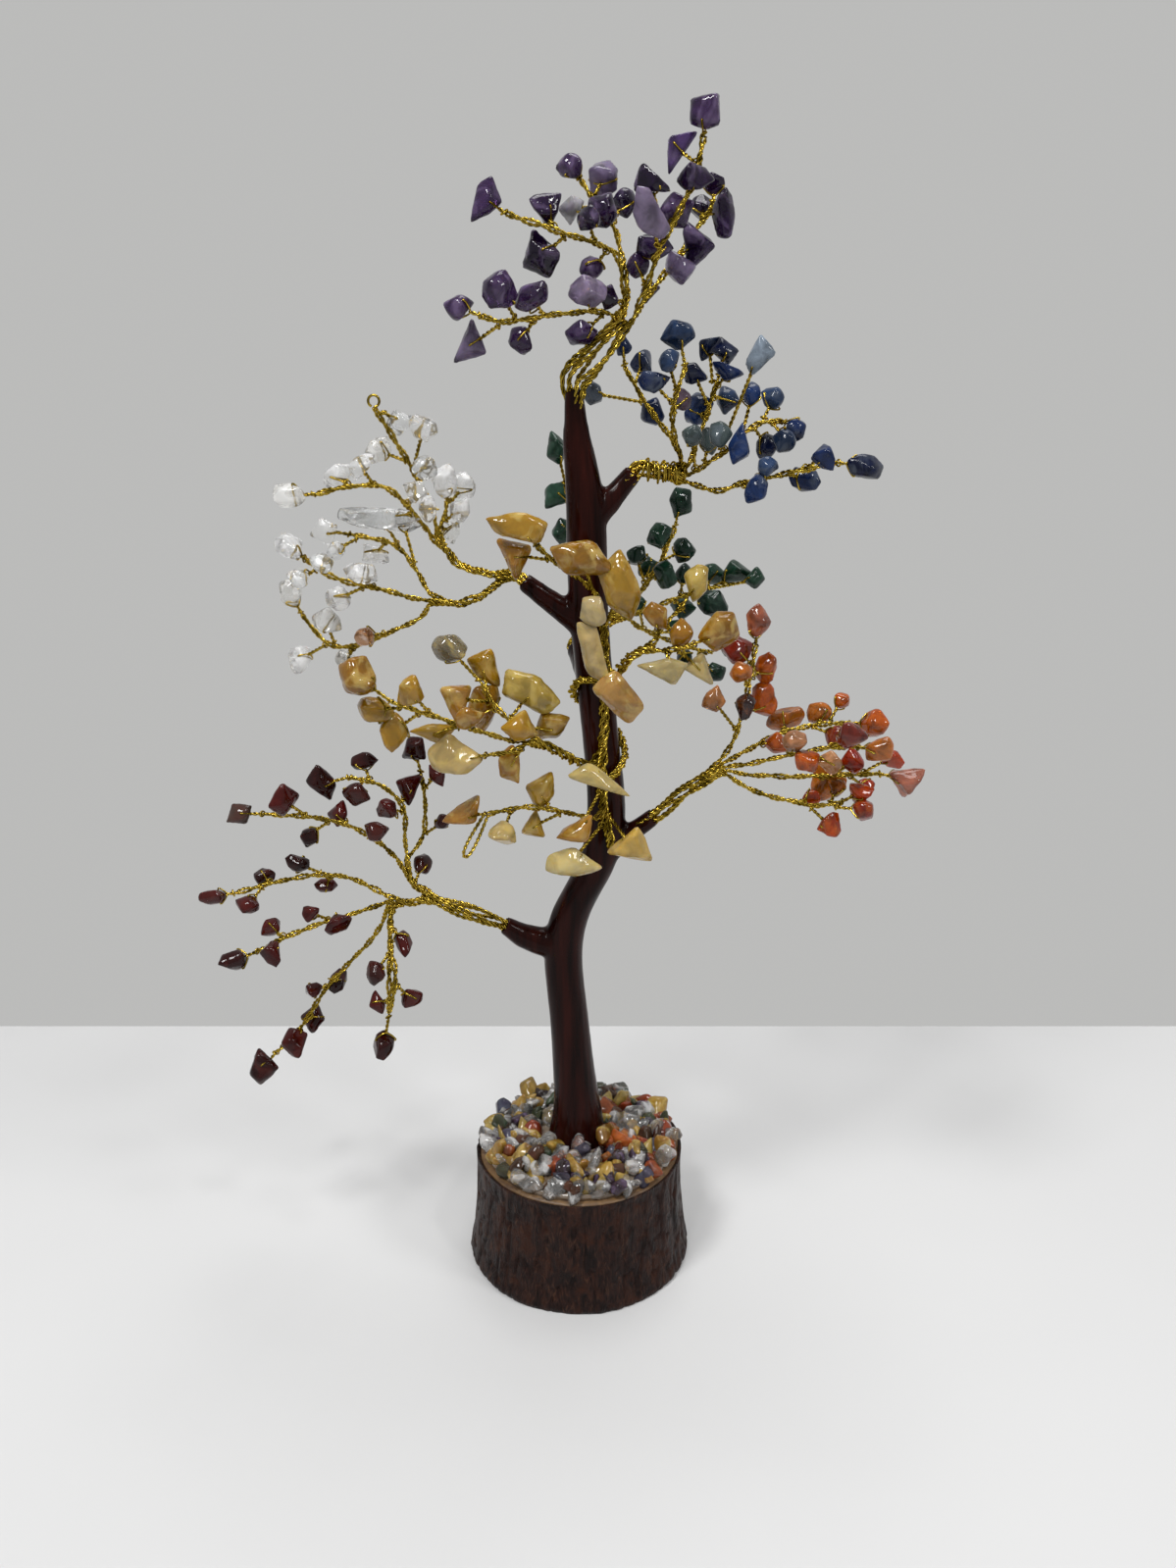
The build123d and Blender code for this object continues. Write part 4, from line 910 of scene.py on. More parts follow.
# The rope for each wire in the frame, by its diameter there: bundle, spine, branch, twig and stem
ROPES = {2.8: BUNDLE_ROPE, 2.0: BRANCH_ROPE, 1.9: BRANCH_ROPE, 1.3: TWIG_ROPE, 0.9: STEM_ROPE}


def front_place(point: np.ndarray) -> np.ndarray:
    """Where a point shows in the front view, on the trunk's plane.

    Args:
        point: The point in millimetres.

    Returns:
        How far across it shows, and how far up from the log's top.
    """
    reach = -EYE[1] / (point[1] - EYE[1])
    shown = EYE + (point - EYE) * reach
    return np.array([shown[0], shown[2] - LOG_TOP])


def near_place(point: np.ndarray, across: float, up: float) -> bool:
    """Whether a point shows close to a place in the front view."""
    return float(np.linalg.norm(front_place(point) - (across, up))) < ODD_REACH


class TumbledChip:
    """One stone chip: a flat, angular piece with worn edges.

    Attributes:
        STRAY: How far a corner of the outline strays from even spacing, as a share of it.
        REACH: The least and most that a corner reaches out, before the outline is fitted to its size.
        LEAN: How far the top leans to a side, as a share of the half size.
        NARROWS: The least and most of the outline that is left at the top and bottom.
        THICKEST: How thick a chip of a given shape is beside its width at the most.
        RISE: The least and most that a corner at the top or bottom reaches up or down.
        WAVE: How far a corner halfway up strays up or down.
        FLATTEST: The angle under which two faces become one, in degrees.
        CUTS: How many times long edges are halved.
        DENT_SIZE: How wide the dents are, in millimetres.
        DENT_DEPTH: How deep they are, as a share of the chip's half width.
        REGROWN: How much a chip may be enlarged at the most to make up for its wear.
    """

    STRAY = 0.28
    REACH = (0.7, 1.2)
    LEAN = 0.14
    NARROWS = (0.35, 0.8)
    THICKEST = 0.75
    RISE = (0.75, 1.05)
    WAVE = 0.3
    FLATTEST = 12
    CUTS = 3
    DENT_SIZE = 2.6
    DENT_DEPTH = 0.06
    REGROWN = 1.2

    def __init__(self, corners: np.ndarray, finish: StoneFinish, seed: int, name: str = "") -> None:
        """Shapes the chip along the length, width and thickness of its solid.

        Args:
            corners: The solid's corner points.
            finish: Its kind's finish, which gives its outlines and the wear of its edges.
            seed: Makes its shape its own.
            name: Its spray, for chips whose shape is given.
        """
        draw = Random(seed)
        middle = corners.mean(0)
        axes = np.linalg.eigh(np.cov((corners - middle).T))[1].T
        local = (corners - middle) @ axes.T
        low, high = local.min(0), local.max(0)
        self.centre = middle + axes.T @ ((low + high) / 2)
        order = np.argsort(low - high)
        axes = axes[order]
        half = ((high - low) / 2)[order] * finish.grow * np.array([1.0, 1.0, finish.thin])
        for across, up, length, width, tilt in SHAPED_CHIPS.get(name, ()):
            if near_place(self.centre, across, up):
                way = np.array([cos(radians(tilt)), 0.0, sin(radians(tilt))])
                axes = np.array([way, [-way[2], 0.0, way[0]], [0.0, -1.0, 0.0]])
                half = np.array([length, width, min(width * self.THICKEST, 2 * half[2])]) / 2
        self.flat = axes[2]
        count = draw.choice(finish.outlines)
        start = draw.uniform(0, 2 * pi)
        angles = [start + 2 * pi * (k + draw.uniform(-self.STRAY, self.STRAY)) / count for k in range(count)]
        reach = [draw.uniform(*self.REACH) for _ in angles]
        outline = np.array([(r * cos(a), r * sin(a)) for a, r in zip(angles, reach)])
        outline = outline - outline.mean(0)
        outline = outline / (outline.max(0) - outline.min(0)) * 2 * half[:2]
        self.shape = bmesh.new()
        lean = np.array([draw.uniform(-self.LEAN, self.LEAN) for _ in range(2)]) * half[:2]
        below, above = draw.uniform(*self.NARROWS), draw.uniform(*self.NARROWS)
        for level, scale in ((-1.0, below), (0.0, 1.0), (1.0, above)):
            for x, y in outline * scale + lean * level:
                rise = level * draw.uniform(*self.RISE)
                rise += draw.uniform(-self.WAVE, self.WAVE) * (1 - abs(level))
                self.shape.verts.new(self.centre + axes.T @ np.array([x, y, half[2] * rise]))
        hull = bmesh.ops.convex_hull(self.shape, input=self.shape.verts)
        spare = [v for v in hull["geom_interior"] + hull["geom_unused"] if isinstance(v, bmesh.types.BMVert)]
        bmesh.ops.delete(self.shape, geom=list(set(spare)), context="VERTS")
        bmesh.ops.dissolve_limit(self.shape, angle_limit=radians(self.FLATTEST), verts=self.shape.verts,
                                 edges=self.shape.edges)
        bmesh.ops.recalc_face_normals(self.shape, faces=self.shape.faces)
        self.planes = np.array([[*f.normal, f.normal.dot(f.verts[0].co)] for f in self.shape.faces])
        self.axes = axes
        self.tumbled = finish.tumbled
        self.grain = min(0.9, 0.1 + 0.3 * half[1])
        self.dent = self.DENT_DEPTH * half[1]

    def out(self, start: np.ndarray, way: np.ndarray) -> float:
        """How far a point inside is from the surface in a direction.

        Args:
            start: The point.
            way: The direction.

        Returns:
            The distance in millimetres, before the chip is worn.
        """
        speed = self.planes[:, :3] @ way
        room = self.planes[:, 3] - self.planes[:, :3] @ start
        ahead = speed > 1e-6
        return max(0.0, float((room[ahead] / speed[ahead]).min()))

    def wear(self, parts: MeshParts, tint: Colour) -> None:
        """Tumbles the chip smooth, dents its faces a little and adds it to a mesh.

        Args:
            parts: The mesh that takes it.
            tint: The chip's colour.
        """
        shape = self.shape
        bmesh.ops.triangulate(shape, faces=shape.faces)
        for _ in range(self.CUTS):
            long = [e for e in shape.edges if e.calc_length() > self.grain]
            bmesh.ops.subdivide_edges(shape, edges=long, cuts=1, use_grid_fill=True)
            bmesh.ops.triangulate(shape, faces=[f for f in shape.faces if len(f.verts) > 3])
        sharp = np.ptp((np.array([v.co for v in shape.verts]) - self.centre) @ self.axes.T, axis=0)
        for _ in range(self.tumbled):
            bmesh.ops.smooth_vert(shape, verts=shape.verts, factor=0.5, use_axis_x=True, use_axis_y=True,
                                  use_axis_z=True)
        shape.normal_update()
        shape.verts.index_update()
        points = np.array([v.co for v in shape.verts])
        dents = np.array([rough(point, self.DENT_SIZE) for point in points]) * self.dent
        points = points + np.array([v.normal for v in shape.verts]) * dents[:, None]
        local = (points - self.centre) @ self.axes.T
        local = local * np.minimum(sharp / np.ptp(local, axis=0), self.REGROWN)
        parts.add(self.centre + local @ self.axes, [[v.index for v in f.verts] for f in shape.faces], tint)
        shape.free()


def varied(colour: Colour, draw: Random, spread: float = 0.14) -> Colour:
    """A colour made a little lighter or darker."""
    factor = 1 + draw.uniform(-spread, spread)
    return tuple(min(1.0, c * factor) for c in colour)


class Trim(Enum):
    """Odd bits of wire."""

    WRAP = "wrap"
    EYE = "eye"
    HAIRPIN = "hairpin"


@dataclass(frozen=True)
class WireTrim:
    """A bit of wire that is wound, curled or folded at one place of a spray.

    Attributes:
        kind: What it is.
        across: Its place in the front view.
        up: Its place up from the log's top.
        size: Its width or radius in millimetres.
        length: How far it reaches.
        strand: The wire's diameter.
        winds: The pitch of a wrap's strands and their width as a share of its size.
        step: How far apart a wrap's points lie.
        knot_turns: How many turns of wire make the knot at its end.
    """

    kind: Trim
    across: float
    up: float
    size: float
    length: float
    strand: float = 0.44
    winds: tuple[tuple[float, float], ...] = ((1.05, 1.0), (1.9, 1.2))
    step: float = 0.08
    knot_turns: int = 7

    def add(self, parts: MeshParts, lines: list[Line]) -> None:
        """Adds it to the wire nearest to its place.

        Args:
            parts: The mesh that takes it.
            lines: The wires' middle lines.
        """
        lines = [evenly(line, 0.5) for line in lines]
        spots = np.vstack(lines)
        shown = np.array([front_place(spot) for spot in spots])
        at = spots[int(np.linalg.norm(shown - (self.across, self.up), axis=1).argmin())]
        if self.kind is Trim.WRAP:
            self.wrap(parts, min(lines, key=lambda line: float(np.linalg.norm(line - at, axis=1).min())))
        elif self.kind is Trim.EYE:
            self.eye(parts, at)
        else:
            self.hairpin(parts, at)

    def wrap(self, parts: MeshParts, line: Line) -> None:
        """Winds two strands round a wire, with a knot at the far end.

        Args:
            parts: The mesh that takes them.
            line: The wire's middle line.
        """
        draw = Random(WRAP_SEED)
        line = evenly(line, self.step)[:int(self.length / self.step)]
        _, first, second = travelling_sides(line)
        walked = np.arange(len(line)) * self.step
        for pitch, wide in self.winds:
            turn = 2 * pi * walked / pitch + 0.7 * np.sin(walked * 1.3)
            radius = self.size * wide * (1 + 0.16 * np.sin(walked * 2.1 + wide * 9))
            wound = line + swung(first, second, turn) * radius[:, None]
            parts.add(*tube(wound, np.gradient(line, axis=0), self.strand))
        for _ in range(self.knot_turns):
            way = random_way(draw)
            radius = self.size * draw.uniform(0.8, 1.25)
            wire_ring(parts, line[-1], way, (0.3, 0.5, 0.8), radius, 24, self.strand)

    def eye(self, parts: MeshParts, at: np.ndarray) -> None:
        """Curls the end of a wire into an open ring.

        Args:
            parts: The mesh that takes it.
            at: The wire's end.
        """
        turn = np.linspace(-pi / 2, 1.35 * pi, 22)
        ring = np.stack([np.cos(turn), 0.25 * np.sin(turn * 0.5), np.sin(turn) + 1.0], axis=1)
        parts.add(*tube(at + ring * self.size, np.tile([0.0, 1.0, 0.0], (22, 1)), self.strand * 1.3))

    def hairpin(self, parts: MeshParts, at: np.ndarray) -> None:
        """Hangs a fold of twisted wire from a point.

        Args:
            parts: The mesh that takes it.
            at: The point.
        """
        way = unit(np.array([-0.46, -0.1, -0.9]))
        side = unit(np.cross(way, [0.0, 1.0, 0.0]))
        down = np.sin(np.linspace(0, pi, 40)) ** 0.6
        wide = np.cos(np.linspace(0, pi, 40)) * (0.3 + 0.7 * down) * self.size / 2
        fold = at + way * (down * self.length)[:, None] + side * wide[:, None]
        STEM_ROPE.lay(parts, fold, HAIRPIN_SEED)


TRIMS: dict[str, WireTrim] = {
    "lapis_bundle": WireTrim(Trim.WRAP, 17, 160, 1.75, 8.4),
    "quartz_twigs": WireTrim(Trim.EYE, -41, 172, 1.15, 0.0),
    "yellow_low_twigs": WireTrim(Trim.HAIRPIN, -21.5, 88, 2.6, 10.5),
}


@dataclass
class Spray:
    """One bough: its wire bundle, twigs, stems and stones.

    Attributes:
        name: The start of its nodes' names.
        gem: Its kind of stone.
        body: The body that it rides on.
        wire: The finish of its wire.
        seed: Makes its shapes its own.
        bundle: Whether it has a bundle node.
        lead: A line that the bundle comes out of, up to the bend.
        ring_wire: The diameter of the loop through a stone.
        hole_in: How far the hole lies inside a stone's edge.
        loop_clear: How far the loop stands off the stone.
        stem_back: How far back a stem begins inside its twig.
        neck: How far from its stone a stem's rope ends.
        least_stem: The shortest stem that is twisted.
        most_in: How much of a stem may lie inside its stone, as a share.
        knot_up: How far up the stem its knot sits.
        knot_tilt: How far a knot may tilt, as a share.
        knot_radius: A knot's least and most radius.
        loop_back: How far the loop starts before the stone's edge.
        loop_wide: How wide the loop is at the edge, as a share of its width at the hole.
        twig_back: How far back a twig begins inside its fork.
        bundle_on: How far a bundle runs on into its fork.
        bend_before: How far before the bend the wire begins to give; not used.
        bend_after: How far after it the wire is all the spray's; not used.
    """

    name: str
    gem: Gem
    body: str
    wire: bpy.types.Material
    seed: int
    bundle: bool = True
    lead: Line = field(default_factory=lambda: np.zeros((0, 3)))
    ring_wire: float = 0.36
    hole_in: float = 1.25
    loop_clear: float = 0.14
    stem_back: float = 0.6
    neck: float = 0.25
    least_stem: float = 0.5
    most_in: float = 0.9
    knot_up: float = 0.5
    knot_tilt: float = 0.6
    knot_radius: tuple[float, float] = (0.55, 0.75)
    loop_back: float = 0.55
    loop_wide: float = 0.55
    twig_back: float = 1.8
    bundle_on: float = 1.0
    bend_before: float = 2.0
    bend_after: float = 3.0

    def build(self, stone: bpy.types.Material) -> None:
        """Makes the spray's pieces.

        Args:
            stone: The finish of its stones.
        """
        root = self.lead[-1] if len(self.lead) else MIDWAY
        chips = self.chips(stone)
        self.stems(chips)
        self.twigs(root)
        if self.bundle:
            self.thick(root)

    def chips(self, stone: bpy.types.Material) -> list[TumbledChip]:
        """Makes the stones.

        Args:
            stone: Their finish.

        Returns:
            The chips, for their wires to find.
        """
        node = f"{self.name}_stones"
        parts = MeshParts()
        made = []
        finish = STONES[self.gem]
        for number, corners in enumerate(FrameSolids(node).corners()):
            seed = self.seed * CHIP_SEED + number
            draw = Random(seed)
            chip = TumbledChip(corners, finish, seed, self.name)
            tint = varied(draw.choice(finish.tints), draw)
            for across, up, colour in ODD_CHIPS.get(self.name, ()):
                if near_place(chip.centre, across, up):
                    tint = colour
            chip.wear(parts, tint)
            made.append(chip)
        stands_for(parts.piece(f"{self.name}_chips", stone, finish.slot), node, self.body)
        return made

    def stems(self, chips: list[TumbledChip]) -> None:
        """Makes the twisted stems and the loops that hold the stones.

        Args:
            chips: The spray's stones.
        """
        node = f"{self.name}_stems"
        parts = MeshParts()
        middles = np.array([c.centre for c in chips])
        for number, corners in enumerate(FrameSolids(node).corners()):
            middle = corners.mean(0)
            way = np.linalg.svd(corners - middle)[2][0]
            half = float(np.abs((corners - middle) @ way).max())
            ends = [middle - way * half, middle + way * half]
            near = [float(np.linalg.norm(middles - end, axis=1).min()) for end in ends]
            start, end = (ends[0], ends[1]) if near[1] < near[0] else (ends[1], ends[0])
            chip = chips[int(np.linalg.norm(middles - end, axis=1).argmin())]
            way = unit(end - start)
            edge = end - way * min(chip.out(end, -way), float(np.linalg.norm(end - start)) * self.most_in)
            start = start - way * self.stem_back
            neck = edge - way * self.neck
            if np.linalg.norm(neck - start) > self.least_stem:
                STEM_ROPE.lay(parts, np.array([start, neck]), self.seed * STEM_SEED + number)
            self.knot(parts, start + way * self.knot_up, way, Random(self.seed * KNOT_SEED + number))
            self.loop(parts, chip, edge, way)
        stands_for(parts.piece(f"{self.name}_stem_wire", self.wire, "brass_wire"), node, self.body)

    def knot(self, parts: MeshParts, at: np.ndarray, way: np.ndarray, draw: Random) -> None:
        """The turn of wire where a stem leaves its twig.

        Args:
            parts: The mesh that takes it.
            at: Where the stem leaves.
            way: The stem's direction.
            draw: The source of chance.
        """
        axis = unit(way + np.array([draw.uniform(-self.knot_tilt, self.knot_tilt) for _ in range(3)]))
        wire_ring(parts, at, axis, (0.3, 0.8, 0.5), draw.uniform(*self.knot_radius), 14, self.ring_wire)

    def loop(self, parts: MeshParts, chip: TumbledChip, edge: np.ndarray, way: np.ndarray) -> None:
        """The strand that goes through a stone's hole and round its edge.

        Args:
            parts: The mesh that takes it.
            chip: The stone.
            edge: Where the stem meets the stone.
            way: The stem's direction into the stone.
        """
        flat = unit(chip.flat - way * (chip.flat @ way))
        hole = edge + way * self.hole_in
        above = chip.out(hole, flat) + self.loop_clear + self.ring_wire / 2
        below = chip.out(hole, -flat) + self.loop_clear + self.ring_wire / 2
        knots = np.array([
            edge - way * self.loop_back,
            edge + way * 0.1 + flat * above * self.loop_wide,
            hole + flat * above,
            hole,
            hole - flat * below,
            edge + way * 0.1 - flat * below * self.loop_wide,
        ])
        rounded = []
        count = len(knots)
        for i in range(count):
            a, b, c, d = (knots[(i + k) % count] for k in (-1, 0, 1, 2))
            for share in (0.0, 0.25, 0.5, 0.75):
                pull = b * 2 + (c - a) * share + (a * 2 - b * 5 + c * 4 - d) * share**2
                rounded.append((pull + (b * 3 - a - c * 3 + d) * share**3) / 2)
        line = np.array(rounded)
        side = np.tile(np.cross(way, flat), (len(line), 1))
        parts.add(*tube(line, side, self.ring_wire, closed=True))

    def twigs(self, root: np.ndarray) -> None:
        """Makes the branches and twigs, each begun a little way back inside its fork.

        Args:
            root: Where the spray bends.
        """
        node = f"{self.name}_twigs"
        parts = MeshParts()
        wires = FrameSolids(node).centre_lines(root)
        for number, (line, dia) in enumerate(wires):
            if not self.bundle and len(self.lead):
                line = np.vstack([self.lead[:-1], line])
            else:
                line = np.vstack([line[0] - unit(line[1] - line[0]) * self.twig_back, line])
            ROPES[dia].lay(parts, line, self.seed * TWIG_SEED + number)
        if node in TRIMS:
            TRIMS[node].add(parts, [line for line, _ in wires])
        piece = parts.piece(f"{self.name}_twig_wire", self.wire, "brass_wire")
        if self.bundle or not len(self.lead):
            stands_for(piece, node, self.body)
        else:
            self.bend(piece, node)

    def thick(self, root: np.ndarray) -> None:
        """Makes the bundle, from inside the trunk or the spine to the fork.

        Args:
            root: Where the spray bends.
        """
        node = f"{self.name}_bundle"
        parts = MeshParts()
        line, dia = FrameSolids(node).centre_lines(root)[0]
        if node in TRIMS:
            TRIMS[node].add(parts, [line])
        line = np.vstack([self.lead[:-1], line, line[-1] + unit(line[-1] - line[-2]) * self.bundle_on])
        rope = {Gem.YELLOW: SPINE_ROPE, Gem.AMETHYST: SPLAYED_ROPE}.get(self.gem, ROPES[dia])
        rope.lay(parts, line, self.seed * BUNDLE_SEED)
        self.bend(parts.piece(f"{self.name}_bundle_wire", self.wire, "brass_wire"), node)

    def bend(self, piece: bpy.types.Object, node: str) -> None:
        """Leaves a wire on no body, with its place baked into its points, and hides the node that it stands
        for.

        Args:
            piece: The wire.
            node: The node that it stands for.
        """
        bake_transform(piece)
        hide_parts(node)


@dataclass
class Trunk:
    """The lacquered trunk, the wires fixed in it and the wires tied on it.

    Attributes:
        lacquer: The trunk's finish.
        wire: The wire's finish.
        grain_mm: The size of the lumps under the lacquer.
        grain_long: How short a lump's height counts beside its width, so that lumps run upwards.
        lump_mm: How high they stand.
        melt_mm: How fine the mesh is in which the trunk and its limbs become one.
        soften_turns: How many times their joins are smoothed.
        upper_drop: How far the binding's upper end drops on its way to the spine.
        lower_drop: How far its lower end does.
        tie_proud: How far those ends stand in front of the spine.
    """

    lacquer: bpy.types.Material
    wire: bpy.types.Material
    grain_mm: float = 5.0
    grain_long: float = 0.14
    lump_mm: float = 0.22
    melt_mm: float = 0.55
    soften_turns: int = 10
    upper_drop: float = -0.5
    lower_drop: float = 2.4
    tie_proud: float = 0.9

    def build(self) -> None:
        """Makes the trunk's pieces."""
        self.wood()
        self.wires("wire_roots", "trunk_root_wire", BUNDLE_ROPE)
        self.wires("yellow_spine", "trunk_spine_wire", SPINE_ROPE)
        self.wires("yellow_binding", "trunk_binding_wire", BINDING_ROPE, tied=True)

    def wood(self) -> None:
        """Makes the trunk: the solid with its joins softened and its surface a little lumpy."""
        source = frame["nodes"]["trunk"]
        made = bpy.data.objects.new("trunk_wood", source.data.copy())
        bpy.context.scene.collection.objects.link(made)
        melt = made.modifiers.new("melt", "REMESH")
        melt.mode = "VOXEL"
        melt.voxel_size = self.melt_mm * MM
        soften = made.modifiers.new("soften", "SMOOTH")
        soften.factor = 0.5
        soften.iterations = self.soften_turns
        evaluated = made.evaluated_get(bpy.context.evaluated_depsgraph_get())
        mesh = bpy.data.meshes.new_from_object(evaluated)
        made.modifiers.clear()
        made.data = mesh
        points, normals = read(mesh.vertices, "co"), read(mesh.vertex_normals, "vector")
        along = np.array([1.0, 1.0, self.grain_long]) / MM
        ridges = np.array([rough(point, self.grain_mm) for point in points * along])
        mesh.vertices.foreach_set("co", (points + normals * ridges[:, None] * self.lump_mm * MM).ravel())
        mesh.polygons.foreach_set("use_smooth", [True] * len(mesh.polygons))
        mesh.materials.clear()
        mesh.materials.append(self.lacquer)
        stands_for(made, "trunk")
        LOG.info("trunk_wood: %d points", len(mesh.vertices))

    def wires(self, node: str, name: str, rope: Rope, tied: bool = False) -> None:
        """Makes the twisted wire for one node of wires on the trunk.

        Args:
            node: The node.
            name: The piece's name.
            rope: How its strands are laid.
            tied: Whether its ends are carried on to the spine.
        """
        parts = MeshParts()
        for number, (line, _) in enumerate(FrameSolids(node).centre_lines(HIGH)):
            rope.lay(parts, self.carried_on(line) if tied else line, TRUNK_SEED + number)
        stands_for(parts.piece(name, self.wire, "brass_wire"), node)

    def carried_on(self, line: Line) -> Line:
        """A wire round the trunk with both ends carried over the trunk's front to the spine.

        Args:
            line: The wire's middle line, from its upper end.

        Returns:
            The longer line.
        """
        spine = evenly(FrameSolids("yellow_spine").centre_lines(HIGH)[0][0], 0.5)
        longer = []
        for end, drop in ((line[0], self.upper_drop), (line[-1], self.lower_drop)):
            knot = spine[int(np.abs(spine[:, 2] - end[2] + drop).argmin())] + (0.0, -self.tie_proud, 0.0)
            longer.append([knot, (end + knot) / 2 + (0.0, -self.tie_proud, 0.0)])
        return np.vstack([longer[0], line, longer[1][::-1]])


# The bed's chips by colour: kind, share of the small ones, and the angle in radians that they gather at
BED_CHIPS: dict[str, tuple[Gem, float, float | None]] = {
    "clear": (Gem.QUARTZ, 0.38, None),
    "amethyst": (Gem.AMETHYST, 0.04, -1.4),
    "orange": (Gem.CARNELIAN, 0.12, 0.0),
    "yellow": (Gem.YELLOW, 0.28, None),
    "green": (Gem.AVENTURINE, 0.1, 1.6),
    "blue": (Gem.LAPIS, 0.03, -0.8),
    "red": (Gem.GARNET, 0.05, None),
}


@dataclass(frozen=True)
class BarkNoise:
    """One kind of unevenness in the bark.

    Attributes:
        size_mm: How wide its lumps are.
        upright: How much height counts beside width, so that less makes lumps that run upwards.
        octaves: How many finer layers are added.
    """

    size_mm: float
    upright: float
    octaves: int

    def at(self, angle: float, radius: float, height: float) -> float:
        """The unevenness at a place on the bark, about -1 to 1."""
        place = np.array([radius * cos(angle), radius * sin(angle), height * self.upright])
        return rough(place, self.size_mm, self.octaves)


@dataclass
class LogSlice:
    """The slice of log with its bark, the bed and its chips.

    Attributes:
        around: Points round the bark.
        upward: Points up the bark.
        rim_mm: The width of bark and cut wood round the bed.
        bark_top: The bark's thickness at the rim.
        bark_side: Its thickness up the side.
        skin_mm: How far inside the full radius a point still counts as outside.
        foot_worn: How far the bark is worn in at the foot.
        foot_worn_high: How high that wear reaches.
        flare: How sharply the log widens towards its foot.
        strands: The grooves between the bark's strands.
        strand_mm: How deep they are.
        hollows: Its broad hollows.
        hollow_mm: How deep they are.
        chewed: Its chewed spots.
        chewed_from: The unevenness that they start at.
        chewed_mm: How deep they are where it is 1 more.
        cracks: Its cracks, where the unevenness is about 0.
        crack_wide: How far from 0 they reach.
        crack_mm: How deep they are.
        groove_most: The deepest that all these get together.
        top_fade: How much shallower they are at the rim.
        foot_fade: How much shallower they are at the foot.
        foot_fade_high: How high that reaches.
        lip_in: How far the bark reaches in under its lip.
        lip_down: How far under the top it does so.
        foot_in: The bark's thickness at the foot.
        foot_up: How far over the foot its inside ends.
        saw_round: How far the cut edge is rounded, inwards and downwards.
        saw_uneven: How uneven the cut edge is.
        under_bed: How far the cut wood reaches in under the bed.
        axis_mm: How close to the axis a turned shape starts.
        bed_sunk: How far the bed reaches down into the wood.
        bed_proud: How far its edge stands over the wood at the least.
        bed_share: How much of the heap's height the bed fills.
        bed_uneven: How uneven its edge is.
        bed_steps: Points from the bed's edge to its middle.
        gravel: How many small chips fill the bed.
        gravel_low: The least width of a small chip.
        gravel_high: The most.
        trunk_clear: How far from the log's middle they begin.
        gravel_level: The least and most of the heap's height that a small chip lies at.
        gravel_up: How far it is lifted, as a share of its size.
        heap_mm: How high the chips are heaped round the trunk.
        chip_corners: How many corner points a small chip is made from.
        chip_shape: How far they reach along its length, width and thickness, as shares of its size.
        front_chip: The place of a large clear chip at the front, over the log's top.
        front_chip_mm: Its size.
        dust: How far the chips' colours are dulled by the resin and its dust.
        dust_tint: The colour of that.
    """

    around: int = 380
    upward: int = 58
    rim_mm: float = 2.4
    bark_top: float = 0.9
    bark_side: float = 2.4
    skin_mm: float = 0.2
    foot_worn: float = 0.7
    foot_worn_high: float = 1.6
    flare: float = 1.5
    strands: BarkNoise = BarkNoise(3.2, 0.16, 4)
    strand_mm: float = 0.44
    hollows: BarkNoise = BarkNoise(13.0, 0.5, 2)
    hollow_mm: float = 0.99
    chewed: BarkNoise = BarkNoise(3.0, 1.0, 3)
    chewed_from: float = 0.2
    chewed_mm: float = 0.9
    cracks: BarkNoise = BarkNoise(6.5, 0.22, 2)
    crack_wide: float = 0.1
    crack_mm: float = 0.5
    groove_most: float = 2.2
    top_fade: float = 0.55
    foot_fade: float = 0.55
    foot_fade_high: float = 5.0
    lip_in: float = 0.4
    lip_down: float = 0.5
    foot_in: float = 3.2
    foot_up: float = 0.6
    saw_round: tuple[float, float] = (0.5, 0.6)
    saw_uneven: float = 0.25
    under_bed: float = 1.4
    axis_mm: float = 0.01
    bed_sunk: float = 0.3
    bed_proud: float = 0.5
    bed_share: float = 0.55
    bed_uneven: float = 0.3
    bed_steps: int = 14
    gravel: int = 310
    gravel_low: float = 3.2
    gravel_high: float = 6.2
    trunk_clear: float = 6.5
    gravel_level: tuple[float, float] = (0.3, 1.1)
    gravel_up: float = 0.22
    heap_mm: float = 2.8
    chip_corners: int = 12
    chip_shape: tuple[float, float, float] = (0.56, 0.4, 0.3)
    front_chip: tuple[float, float, float] = (4.0, -15.0, 3.4)
    front_chip_mm: float = 6.6
    dust: float = 0.3
    dust_tint: Colour = (0.16, 0.11, 0.06)

    def __post_init__(self) -> None:
        """Takes the sizes from the frame."""
        bark, bed = (np.array(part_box(node)[1]) / MM for node in ("bark_ring", "resin_bed"))
        self.foot_radius, self.height = float(bark[0]), float(bark[2])
        self.bed_radius, self.bed_top = float(bed[0]), float(bed[2])
        self.top_radius = self.bed_radius + self.rim_mm

    def radius(self, height: float) -> float:
        """The log's radius at a height.

        Args:
            height: The height over the foot.

        Returns:
            The radius before the grooves.
        """
        share = 1 - height / self.height
        worn = self.foot_worn * max(0.0, 1 - height / self.foot_worn_high) ** 2
        return self.top_radius + (self.foot_radius - self.top_radius) * share**self.flare - worn

    def build(self, bark: bpy.types.Material, cut: bpy.types.Material, resin: bpy.types.Material,
              polishes: dict[Gem, bpy.types.Material]) -> None:
        """Makes the log's pieces.

        Args:
            bark: The bark's finish.
            cut: The cut wood's finish.
            resin: The bed's finish.
            polishes: The stones' finishes.
        """
        self.bark(bark)
        self.core(cut)
        self.bed(resin)
        self.chips(polishes)

